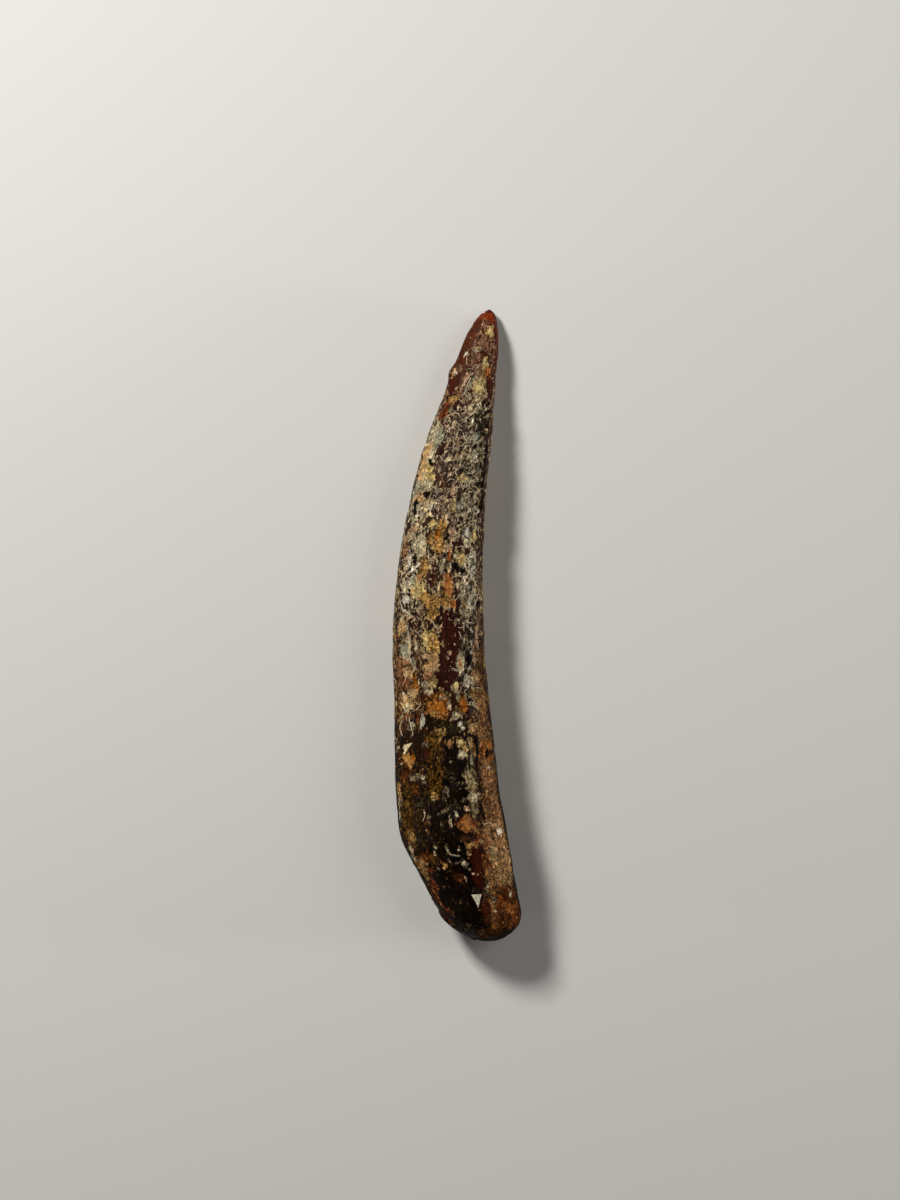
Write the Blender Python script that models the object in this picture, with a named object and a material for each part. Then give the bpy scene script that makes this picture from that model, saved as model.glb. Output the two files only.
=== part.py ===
"""A fossil pterosaur tooth with its root, lying on its flank.

The tip points along +Y and the hollow side of the curve faces +X. The tooth rests on a narrow
worn flat in the plane Z = 0, and the origin is under the middle of its bounding box. The tooth
is one solid: the sediment cemented to it is raised from its surface, and the pits and the crack
are sunk into it. Everything is in metres.
"""

import math

import bmesh
import bpy
import numpy as np
from mathutils import Vector, noise

MM = 0.001

# Driving dimensions
LENGTH = 55.3 * MM
THICKNESS_SHARE = 0.80  # how thick the oval section is, as a share of its width
ROOT_ROUNDING = 2.4 * MM  # how far the blunt end of the root curves in
TIP_ROUNDING = 0.8 * MM
ROOT_LIFT = 0.5 * MM  # how far each end's underside stands off the ground
ROOT_LIFT_REACH = 7.0 * MM
TIP_LIFT = 0.35 * MM
TIP_LIFT_REACH = 12.0 * MM
WORN_FLAT_DEPTH = 0.14 * MM  # how much the flat takes off the underside

# The plan outline: (distance from the root's end, middle of the width, half of the width)
OUTLINE = np.array(
    [
        (0.0, 2.6, 2.05),
        (1.0, 2.5, 2.95),
        (2.3, 2.12, 3.5),
        (4.5, 1.35, 3.9),
        (6.3, 0.7, 4.2),
        (8.4, 0.0, 4.6),
        (12.3, -0.75, 4.55),
        (19.3, -1.2, 4.2),
        (26.2, -1.63, 4.0),
        (34.0, -1.35, 3.6),
        (42.7, -0.1, 2.95),
        (49.7, 1.5, 1.92),
        (51.9, 1.96, 1.62),
        (53.8, 2.36, 1.14),
        (55.3, 2.8, 0.4),
    ]
) * MM

# The mesh has this many faces round the tooth and along it
ROUND_STEPS = 64
LONG_STEPS = 76

# The pulp cavity, worn to a shallow dish in the root's end
DISH_RADIUS = 1.5 * MM
DISH_DEPTH = 0.14 * MM

# Long, low swellings of the whole surface: (height, size across, size along)
SWELLINGS = (
    (0.10 * MM, 2.6 * MM, 6.0 * MM),
    (0.09 * MM, 0.9 * MM, 2.2 * MM),
)

# How ragged a patch's rim is, how large the rags are, and how much of it is level
RIM_RAGGEDNESS = 0.35
RIM_RAG_SIZE = 1.1 * MM
LEVEL_SHARE = 0.45

# What stands up from the surface or is sunk into it, in mm: (name, across, along, half length,
# half width, turn in degrees, height). Across is measured from the origin towards +X, along from
# the root's end, and a turn leans the patch's upper end towards +X.
UPPER_RELIEF = (
    ("upper left crust band", -2.8, 41.0, 3.7, 0.9, 16, 0.22),
    ("middle left crust band", -4.4, 33.6, 3.6, 0.9, 9, 0.26),
    ("lower left crust band", -4.8, 26.2, 3.2, 0.9, 2, 0.24),
    ("speckled crust by the hollow side", 1.1, 33.4, 4.6, 0.9, 0, 0.20),
    ("yellow slab", -1.7, 35.5, 1.5, 0.7, 0, 0.16),
    ("upper ochre crust", -2.8, 29.7, 2.1, 1.1, 0, 0.22),
    ("long ochre crust", -2.3, 24.9, 3.3, 0.9, -3, 0.28),
    ("rusty lump", -0.3, 30.2, 1.9, 0.8, 8, 0.18),
    ("round orange boss", -1.7, 20.4, 1.1, 1.05, 0, 0.40),
    ("small orange boss", 0.5, 20.8, 0.9, 0.75, 0, 0.26),
    ("upright flake", -4.7, 17.1, 0.7, 0.6, 0, 0.42),
    ("boss under the flake", -4.3, 15.7, 0.9, 0.75, 0, 0.24),
    ("cream grains", 0.4, 16.9, 1.3, 0.65, 0, 0.24),
    ("crust beside the crack", 1.2, 13.6, 2.1, 0.75, -4, 0.24),
    ("tan rib", 2.9, 13.6, 5.0, 0.8, -8, 0.20),
    ("orange slab", 1.0, 10.4, 0.8, 1.3, 0, 0.24),
    ("tan flank", 3.9, 7.4, 3.6, 0.9, -8, 0.16),
    ("rim of the root", -0.9, 3.2, 2.4, 0.55, -35, 0.20),
    ("pale triangular flake", 1.8, 3.6, 0.6, 0.55, 0, 0.30),
    ("grain clump on the edge", -0.5, 49.6, 0.8, 0.6, 0, 0.45),
    ("upper cream patch", 1.9, 48.2, 1.2, 0.6, -8, 0.16),
    ("cream patch by the tip", 2.9, 52.9, 0.6, 0.45, 0, 0.10),
    ("left orange pad", -0.3, 47.1, 0.7, 0.6, 0, 0.18),
    ("crack", 2.1, 14.3, 3.8, 0.4, -4, -0.55),
    ("bare enamel", -0.5, 24.9, 4.2, 0.9, 0, -0.14),
    ("black hollow", -0.7, 12.4, 3.2, 1.2, 0, -0.16),
    ("dark hollow of the root", 0.6, 4.8, 3.4, 1.2, -8, -0.20),
    ("upper left pit", -3.3, 38.0, 0.7, 0.45, 10, -0.26),
    ("left pit", -3.9, 33.4, 0.9, 0.45, 0, -0.26),
    ("ringed pits", 0.0, 32.5, 0.7, 0.6, 0, -0.30),
    ("pit by the crack", 2.5, 16.6, 0.55, 0.45, 0, -0.36),
    ("chip beside the tip", 3.4, 54.2, 0.4, 0.3, 0, -0.14),
)
UNDER_RELIEF = (
    ("broad crust underneath", -3.0, 36.0, 5.0, 1.1, 8, 0.20),
    ("crust on the lower hollow side", 1.2, 28.0, 4.0, 0.9, 0, 0.18),
    ("ochre lump underneath", -3.4, 22.0, 2.0, 1.0, 0, 0.24),
    ("long root crust underneath", -3.8, 12.0, 3.6, 0.9, -6, 0.22),
    ("tan rib underneath", 3.0, 11.0, 4.0, 0.8, -8, 0.16),
    ("crust under the crown", 1.6, 45.5, 2.4, 0.6, -12, 0.14),
    ("dark hollow underneath", -3.6, 17.5, 2.2, 0.8, 0, -0.18),
    ("hollow under the root", 2.6, 5.0, 2.0, 0.9, -10, -0.20),
)

ENAMEL_COLOUR = (0.105, 0.042, 0.024, 1.0)
ENAMEL_ROUGHNESS = 0.45


def eased(share):
    """A smooth step from 0 at 0 to 1 at 1."""
    share = np.clip(share, 0.0, 1.0)
    return share * share * (3.0 - 2.0 * share)


def smooth_through(knots, values, at):
    """A cubic curve through the knots, whose slopes follow their neighbours."""
    slopes = np.gradient(values, knots)
    i = np.clip(np.searchsorted(knots, at) - 1, 0, len(knots) - 2)
    gap = knots[i + 1] - knots[i]
    t = (at - knots[i]) / gap
    return (
        (2 * t**3 - 3 * t**2 + 1) * values[i]
        + (t**3 - 2 * t**2 + t) * gap * slopes[i]
        + (3 * t**2 - 2 * t**3) * values[i + 1]
        + (t**3 - t**2) * gap * slopes[i + 1]
    )


def end_rounding(along):
    """1 along the tooth, falling to 0 at both ends as a quarter circle does."""
    from_root = np.clip(1 - along / ROOT_ROUNDING, 0, 1)
    from_tip = np.clip(1 - (LENGTH - along) / TIP_ROUNDING, 0, 1)
    return np.sqrt(1 - from_root**2) * np.sqrt(1 - from_tip**2)


def middle(along):
    return smooth_through(OUTLINE[:, 0], OUTLINE[:, 1], along)


def full_half_width(along):
    """Half the width, before the ends are rounded."""
    return smooth_through(OUTLINE[:, 0], OUTLINE[:, 2], along)


def axis_height(along):
    """How high the middle of the section lies, so that the underside rests along most of its length."""
    root_lift = ROOT_LIFT * eased(1 - along / ROOT_LIFT_REACH)
    tip_lift = TIP_LIFT * eased(1 - (LENGTH - along) / TIP_LIFT_REACH)
    return full_half_width(along) * THICKNESS_SHARE + root_lift + tip_lift - WORN_FLAT_DEPTH


def evenly_spaced_rings():
    """Distances from the root's end, at equal steps along the outline, so they crowd at the ends."""
    along = LENGTH * (0.5 - 0.5 * np.cos(np.linspace(0, math.pi, 4000)))
    half_width = full_half_width(along) * end_rounding(along)
    travelled = np.concatenate([[0.0], np.cumsum(np.hypot(np.diff(along), np.diff(half_width)))])
    return np.interp(np.linspace(0, travelled[-1], LONG_STEPS + 1), travelled, along)


def angle_of(across, along, under):
    """The angle round the section, from +Z towards +X, of a place seen from above or from below."""
    share = np.clip((across - middle(along)) / full_half_width(along), -0.98, 0.98)
    return math.pi - math.asin(share) if under else math.asin(share)


def noise_at(points):
    return np.array([noise.noise(Vector(point)) for point in points])


def patch_height(patch, under, along, angle, radius, rag):
    """How far one patch of relief lifts or sinks each place."""
    _, across, middle_along, half_length, half_width, turn, rise = patch
    patch_angle = angle_of(across * MM, middle_along * MM, under)
    round_gap = np.remainder(angle - patch_angle + math.pi, 2 * math.pi) - math.pi
    long_gap = along - middle_along * MM
    lean = math.radians(-turn if under else turn)
    u = long_gap * math.cos(lean) + round_gap * radius * math.sin(lean)
    v = round_gap * radius * math.cos(lean) - long_gap * math.sin(lean)
    distance = np.hypot(u / (half_length * MM), v / (half_width * MM)) + rag
    return rise * MM * eased((1 - distance) / (1 - LEVEL_SHARE))


def relief(along, angle):
    """How far the surface stands above the smooth tooth, at each of many places."""
    radius = full_half_width(along) * (1 + THICKNESS_SHARE) / 2
    places = np.stack([radius * np.sin(angle), along, radius * np.cos(angle)], axis=1)
    height = np.zeros(len(places))
    for amount, across_size, along_size in SWELLINGS:
        height += amount * noise_at(places / (across_size, along_size, across_size))
    rag = RIM_RAGGEDNESS * noise_at(places / RIM_RAG_SIZE)
    for under, patches in ((False, UPPER_RELIEF), (True, UNDER_RELIEF)):
        for patch in patches:
            height += patch_height(patch, under, along, angle, radius, rag)
    return height


def places_on_tooth(along, angle):
    """The finished surface at these distances from the root's end and angles round the section."""
    rounding = end_rounding(along)
    height = relief(along, angle) * rounding
    reach_across = full_half_width(along) * rounding + height
    reach_up = full_half_width(along) * rounding * THICKNESS_SHARE + height
    from_axis = np.hypot(reach_across * np.sin(angle), reach_up * np.cos(angle))
    dish = np.where(along < LENGTH / 2, DISH_DEPTH * eased(1 - from_axis / DISH_RADIUS), 0.0)
    x = middle(along) + reach_across * np.sin(angle)
    z = axis_height(along) + reach_up * np.cos(angle)
    return np.stack([x, along + dish, np.maximum(z, 0.0)], axis=1)


def tooth_mesh():
    """A sphere whose rings are spread along the tooth and given its sections."""
    shape = bmesh.new()
    bmesh.ops.create_uvsphere(shape, u_segments=ROUND_STEPS, v_segments=LONG_STEPS, radius=1.0)
    unit = np.array([vertex.co for vertex in shape.verts])
    ring = np.rint(np.arccos(np.clip(unit[:, 2], -1, 1)) / math.pi * LONG_STEPS).astype(int)
    angle = np.arctan2(unit[:, 0], unit[:, 1])
    for vertex, place in zip(shape.verts, places_on_tooth(evenly_spaced_rings()[ring], angle)):
        vertex.co = place
    mesh = bpy.data.meshes.new("tooth")
    shape.to_mesh(mesh)
    shape.free()
    return mesh


def put_origin_under_the_middle(mesh):
    """Moves the mesh so that the origin lies on the ground under the middle of its box."""
    points = np.array([vertex.co for vertex in mesh.vertices])
    low, high = points.min(axis=0), points.max(axis=0)
    for vertex in mesh.vertices:
        vertex.co -= Vector(((low[0] + high[0]) / 2, (low[1] + high[1]) / 2, low[2]))


def fossil_material():
    material = bpy.data.materials.new("fossil enamel")
    material.use_nodes = True
    shader = material.node_tree.nodes["Principled BSDF"]
    shader.inputs["Base Color"].default_value = ENAMEL_COLOUR
    shader.inputs["Roughness"].default_value = ENAMEL_ROUGHNESS
    shader.inputs["Metallic"].default_value = 0.0
    return material


def main():
    for old in list(bpy.data.objects):
        bpy.data.objects.remove(old)
    collection = bpy.data.collections.new("fossil pterosaur tooth")
    bpy.context.scene.collection.children.link(collection)
    mesh = tooth_mesh()
    put_origin_under_the_middle(mesh)
    mesh.materials.append(fossil_material())
    mesh.shade_smooth()
    collection.objects.link(bpy.data.objects.new("tooth", mesh))


main()
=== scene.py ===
"""The finished look of a fossil pterosaur tooth that lies on its flank.

A fine skin is wrapped round the solid tooth. It carries two layers of colour, the bare tooth and the
sediment cemented to it, and how much of each place the sediment covers. Both come from listed
strokes, and the sediment stands up from the tooth. Loose sand grains are a mesh of their own.
Lengths are in millimetres until a mesh, a light or the camera is made.
"""

import math
from typing import NamedTuple

import bmesh
import bpy
import numpy as np
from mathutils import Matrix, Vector
from mathutils.bvhtree import BVHTree

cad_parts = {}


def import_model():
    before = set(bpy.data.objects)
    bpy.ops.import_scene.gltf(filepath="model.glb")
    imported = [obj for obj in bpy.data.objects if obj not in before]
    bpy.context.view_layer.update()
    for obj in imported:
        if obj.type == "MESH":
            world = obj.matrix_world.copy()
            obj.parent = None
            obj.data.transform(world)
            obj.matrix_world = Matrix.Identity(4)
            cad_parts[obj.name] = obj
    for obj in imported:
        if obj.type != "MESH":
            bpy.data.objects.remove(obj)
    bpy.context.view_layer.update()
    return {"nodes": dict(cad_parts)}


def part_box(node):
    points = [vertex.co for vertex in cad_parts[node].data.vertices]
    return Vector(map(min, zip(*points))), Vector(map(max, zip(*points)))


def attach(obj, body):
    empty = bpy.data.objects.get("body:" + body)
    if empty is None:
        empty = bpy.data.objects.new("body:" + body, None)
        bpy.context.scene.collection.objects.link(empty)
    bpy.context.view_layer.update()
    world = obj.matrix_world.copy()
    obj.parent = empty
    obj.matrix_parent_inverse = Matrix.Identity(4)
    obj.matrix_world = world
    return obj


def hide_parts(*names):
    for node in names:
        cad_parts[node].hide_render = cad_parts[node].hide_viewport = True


MM = 0.001

# The skin's mesh: steps round the tooth and rings along it
ROUND_STEPS = 236
BODY_RINGS = 362
ROOT_CAP_RINGS = 40
TIP_CAP_RINGS = 15
ROOT_CAP_REACH = 3.0
TIP_CAP_REACH = 1.5
TOP_CROWDING = 0.25  # how much closer together the steps are on top than underneath
SPINE_STATIONS = 60
SPINE_SMOOTHING = 2.0
FACET_SMOOTHING = (2.4, 3.4)  # in rings and in steps round the tooth
SHARP_TIP_RINGS = 14  # towards the tip the smoothing fades out, so that it keeps its point

# How far a stroke's edge is blurred, and how ragged it is, as shares of its half width
COVER_EDGE = (1.45, 0.8)
COLOUR_EDGE = (1.7, 0.7)
STROKE_RAG = (0.18, 1.1)  # the least, and how much more of it a gritty paint has
MOST_RAG = 0.55
STROKE_REACH = 2.2
STEEPEST_SIDE = 0.38  # no stroke is stretched more than this allows where the side falls away

# Heights in millimetres
FLECK_RISE = 0.035
GRIT_RISE = 0.05
LUMP_RISE = 0.08
STRIATION_RISE = 0.012

HIDDEN_STROKES = 190
GRAIN_COUNT = 1500


class Paint(NamedTuple):
    """What one stroke leaves: its colour, the share of the place that sediment covers, and its relief."""

    srgb: tuple
    is_crust: bool
    cover: float
    grit: float
    rise: float


PAINTS = {
    "white": Paint((208, 206, 194), True, 1.45, 0.15, 0.12),
    "cream": Paint((188, 178, 150), True, 1.3, 0.22, 0.11),
    "yellow cream": Paint((194, 174, 122), True, 1.35, 0.24, 0.12),
    "orange cream": Paint((188, 156, 112), True, 1.3, 0.2, 0.11),
    "grey green": Paint((148, 148, 130), True, 1.15, 0.22, 0.08),
    "pink": Paint((180, 150, 122), True, 1.2, 0.25, 0.07),
    "veil": Paint((134, 100, 79), True, 0.76, 0.3, 0.02),
    "gold": Paint((186, 146, 84), True, 1.35, 0.3, 0.12),
    "golden orange": Paint((166, 104, 38), True, 1.6, 0.15, 0.26),
    "ochre": Paint((158, 124, 76), True, 1.2, 0.45, 0.12),
    "orange": Paint((154, 96, 48), True, 1.25, 0.35, 0.10),
    "rust": Paint((108, 58, 30), True, 1.05, 0.5, 0.06),
    "tan": Paint((146, 108, 72), True, 1.0, 0.5, 0.06),
    "mustard": Paint((94, 66, 24), True, 0.72, 0.6, 0.05),
    "olive": Paint((66, 50, 26), True, 0.64, 0.6, 0.04),
    "fibres": Paint((72, 46, 22), True, 0.34, 0.6, 0.03),
    "green fibres": Paint((66, 58, 40), True, 0.44, 0.6, 0.03),
    "dusky": Paint((124, 108, 86), True, 0.7, 0.4, 0.05),
    "amber": Paint((86, 46, 18), True, 0.9, 0.4, 0.04),
    # painted glow: a brighter amber for the root's end on the right, as light shining through the tooth
    "glow": Paint((100, 56, 25), True, 1.25, 0.35, 0.03),
    "apricot": Paint((164, 108, 60), True, 1.4, 0.22, 0.10),
    "golden cream": Paint((172, 128, 72), True, 1.5, 0.15, 0.16),
    "pale tan": Paint((168, 132, 94), True, 1.15, 0.5, 0.07),
    "rose tan": Paint((146, 104, 74), True, 1.0, 0.45, 0.07),
    "brown crust": Paint((116, 84, 54), True, 0.66, 0.5, 0.05),
    "boss": Paint((162, 108, 52), True, 1.6, 0.2, 0.34),
    "grey crust": Paint((140, 126, 94), True, 0.9, 0.6, 0.11),
    "pale speckle": Paint((176, 156, 130), True, 0.27, 0.4, 0.05),
    "dense speckle": Paint((190, 176, 146), True, 0.5, 0.45, 0.07),
    "umber": Paint((30, 17, 7), False, 0.12, 0.5, 0.0),
    "sienna": Paint((86, 54, 30), False, 0.66, 0.5, 0.0),
    "brown": Paint((60, 34, 20), False, 0.34, 0.4, 0.0),
    "mauve": Paint((70, 46, 37), False, 0.36, 0.4, 0.0),
    "plum": Paint((54, 31, 25), False, 0.12, 0.1, 0.0),
    "maroon": Paint((50, 20, 13), False, 0.04, 0.1, -0.02),
    "deep red": Paint((56, 19, 8), False, -0.05, 0.1, 0.0),
    "tip red": Paint((70, 33, 18), False, 0.0, 0.05, 0.0),
    # the tip's own red-orange, made brighter by painted glow of light shining through the thin tip
    "tip orange": Paint((122, 46, 10), False, -0.2, 0.05, 0.0),
    "enamel": Paint((46, 17, 10), False, -0.12, 0.05, 0.0),
    "black": Paint((18, 11, 5), False, 0.0, 0.4, -0.05),
    "green black": Paint((34, 29, 14), False, 0.12, 0.5, -0.03),
    # near black in the cracks and pits: painted shade in their depth, on top of the dip they are given
    "groove": Paint((7, 4, 3), False, -0.3, 0.2, -0.22),
}
PAINT_TONE = (1.0, 0.92, 0.80)  # the photograph's light is warmer than the studio's
CRUST_SHADE = 0.10  # how dark the tooth is between the grains of a crust, as a share of the crust's colour: painted shade in the gaps
# how far a raised crust turns the tooth between its grains into that painted shade
GAP_SHADE_SHARE = 0.75
FILM_RISE = 0.02  # a sediment that rises no more is a film, and the tooth keeps its colour under it

# The strokes: (paint, across, along, half width, half length, turn in degrees). Across is measured
# from the origin towards +X, along from the root's end, both as seen from above. A stroke without a
# turn follows the tooth, and a turn leans its upper end towards +X.
TIP_STROKES = (
    ("tip red", 1.3, 52.9, 0.6, 1.9, 8),
    ("tip orange", 2.7, 54.7, 1.0, 0.6),
    ("tip red", 0.2, 49.5, 0.5, 0.8),
    ("deep red", -0.4, 48.6, 0.5, 0.7),
    ("deep red", 2.85, 48.2, 0.25, 0.9),
    ("brown", 2.95, 50.5, 0.18, 0.25),
    ("veil", 2.4, 53.5, 0.42, 0.7),
    ("veil", 2.2, 52.4, 0.6, 1.0),
    ("veil", 3.0, 51.6, 0.3, 1.2),
    ("veil", 1.9, 51.6, 0.5, 0.9),
    ("cream", 1.8, 51.6, 0.26, 0.24),
    ("veil", 1.9, 52.0, 0.2, 0.2),
    ("groove", 2.05, 51.25, 0.22, 0.08),
    ("veil", 1.5, 50.6, 0.5, 0.6),
    ("pink", 2.25, 53.95, 0.08, 0.2),
    ("pink", 0.8, 51.2, 0.12, 0.26, 20),
    ("white", 0.8, 51.2, 0.08, 0.16, 20),
    ("pink", -0.25, 49.35, 0.1, 0.1),
    ("pale tan", -0.18, 49.6, 0.14, 0.34),
    ("veil", 1.15, 51.6, 0.1, 0.12),
    ("veil", 0.3, 49.9, 0.4, 0.3, 30),
    ("cream", 1.2, 49.7, 0.1, 0.16),
    ("cream", 1.75, 49.85, 0.12, 0.14),
    ("yellow cream", 2.9, 53.15, 0.26, 0.36),
    ("yellow cream", 2.4, 50.3, 0.3, 0.6),
    ("yellow cream", 2.3, 49.4, 0.28, 0.4),
    ("orange", 2.75, 49.55, 0.25, 0.45),
    ("veil", 1.0, 48.6, 0.7, 1.3, 25),
    ("pink", 0.75, 48.9, 0.1, 0.8, 22),
    ("grey green", 1.15, 48.5, 0.12, 0.9, 24),
    ("yellow cream", 1.9, 48.0, 0.48, 0.75),
    ("cream", 1.1, 47.5, 0.28, 0.2),
    ("pink", 2.5, 47.6, 0.14, 0.3),
    ("gold", -0.4, 47.1, 0.38, 0.4),
    ("rust", -1.0, 46.4, 0.25, 0.6),
    ("cream", 1.2, 46.3, 0.6, 0.35),
    ("veil", -0.6, 45.75, 0.6, 0.12, -12),
    ("rust", -1.45, 45.6, 0.3, 0.5),
    ("veil", -1.25, 47.0, 0.1, 1.2),
    ("brown", 0.35, 46.7, 0.5, 0.25),
    ("green black", 2.0, 45.4, 0.5, 0.6),
    ("groove", 2.65, 46.1, 0.12, 0.18),
    ("groove", 2.7, 46.8, 0.1, 0.15),
    ("groove", 2.3, 46.8, 0.12, 0.15),
)

UPPER_CROWN_STROKES = (
    ("umber", 1.45, 41.0, 0.6, 4.2),
    ("pale speckle", 0.0, 41.5, 1.6, 4.0),
    ("dense speckle", 1.45, 41.5, 0.7, 4.2),
    ("groove", 1.5, 43.1, 0.1, 0.14, 20),
    ("groove", 1.15, 40.6, 0.12, 0.12),
    ("groove", 1.95, 41.3, 0.1, 0.18),
    ("groove", 1.3, 39.0, 0.1, 0.14, -30),
    ("groove", 1.9, 37.2, 0.1, 0.2),
    ("plum", 2.95, 44.6, 0.22, 1.7),
    ("plum", 2.6, 42.0, 0.24, 1.7),
    ("plum", 2.4, 39.4, 0.24, 1.7),
    ("plum", 2.25, 36.8, 0.25, 1.6),
    ("groove", 2.4, 42.3, 0.06, 1.2),
    ("groove", 2.22, 40.1, 0.07, 0.8),
    ("groove", 2.1, 38.2, 0.07, 0.8),
    ("cream", -2.0, 44.3, 0.35, 0.8),
    ("grey green", -1.9, 43.5, 0.4, 0.9, 15),
    ("cream", -2.5, 43.0, 0.3, 0.7),
    ("grey green", -2.1, 42.7, 0.3, 0.6),
    ("orange cream", -2.75, 42.2, 0.35, 0.8),
    ("cream", -2.2, 41.9, 0.3, 0.8),
    ("orange cream", -2.95, 40.7, 0.4, 1.0),
    ("yellow cream", -2.35, 40.4, 0.35, 1.0),
    ("orange", -3.1, 39.6, 0.3, 0.4),
    ("grey green", -3.4, 39.3, 0.28, 0.6),
    ("cream", -2.6, 39.6, 0.3, 0.4),
    ("orange cream", -3.2, 38.6, 0.3, 0.4),
    ("groove", -2.1, 41.7, 0.13, 0.35, -15),
    ("groove", -2.6, 38.9, 0.28, 0.25),
    ("white", -2.5, 38.3, 0.12, 0.4),
    ("groove", -3.55, 37.9, 0.1, 0.5),
    ("groove", -3.3, 37.3, 0.25, 0.12),
    ("white", -3.4, 37.8, 0.12, 0.35),
    ("orange cream", -3.0, 38.0, 0.2, 0.4),
    ("yellow cream", -2.7, 37.6, 0.38, 0.75),
    ("white", -3.3, 37.1, 0.38, 0.12),
    ("white", -2.35, 37.9, 0.15, 0.3),
    ("cream", -3.6, 36.5, 0.45, 0.4),
    ("maroon", -1.4, 42.8, 0.22, 0.6),
    ("mauve", -1.7, 41.4, 0.25, 0.6),
    ("brown", -1.4, 40.4, 0.38, 0.5),
    ("brown", -1.3, 39.7, 0.35, 0.5),
    ("brown", -0.75, 45.0, 0.6, 0.2),
    ("brown", -0.55, 44.5, 0.35, 0.3),
    ("brown", -1.2, 45.1, 0.2, 0.3),
    ("grey green", -1.35, 44.5, 0.16, 0.25),
    ("brown", 0.75, 42.5, 0.3, 0.5),
    ("green black", 2.15, 45.2, 0.5, 0.75),
    ("groove", 2.55, 44.9, 0.12, 0.2),
    ("groove", 2.3, 44.15, 0.22, 0.1),
    ("maroon", -0.6, 38.6, 0.25, 0.22),
    ("mauve", -1.3, 38.3, 0.45, 0.5),
    ("mauve", -1.4, 37.4, 0.4, 0.5),
    ("mauve", -0.3, 36.8, 0.3, 0.7),
    ("cream", 0.35, 42.1, 0.14, 0.5),
    ("cream", -0.7, 42.0, 0.28, 0.22),
    ("yellow cream", 0.45, 40.3, 0.38, 0.3),
    ("yellow cream", -0.35, 37.9, 0.25, 0.5),
    ("white", 1.6, 38.7, 0.13, 0.4),
    ("white", 1.6, 42.3, 0.14, 0.4),
    ("white", 1.3, 45.3, 0.12, 0.2),
    ("grey green", 1.6, 43.9, 0.35, 0.5),
    ("white", -0.05, 44.1, 0.08, 0.12),
    ("pink", -0.4, 39.4, 0.13, 0.5),
    ("pink", -0.8, 43.4, 0.1, 0.5, 10),
    ("pink", 0.05, 43.5, 0.08, 0.4),
    ("cream", 0.75, 37.2, 0.25, 0.4),
    ("grey green", 0.3, 37.9, 0.25, 0.35),
    ("groove", 1.65, 38.1, 0.13, 0.16),
    ("groove", 0.65, 39.3, 0.14, 0.1),
    ("groove", 1.85, 39.8, 0.08, 0.16),
    ("groove", 0.35, 41.0, 0.12, 0.08),
)

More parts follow.
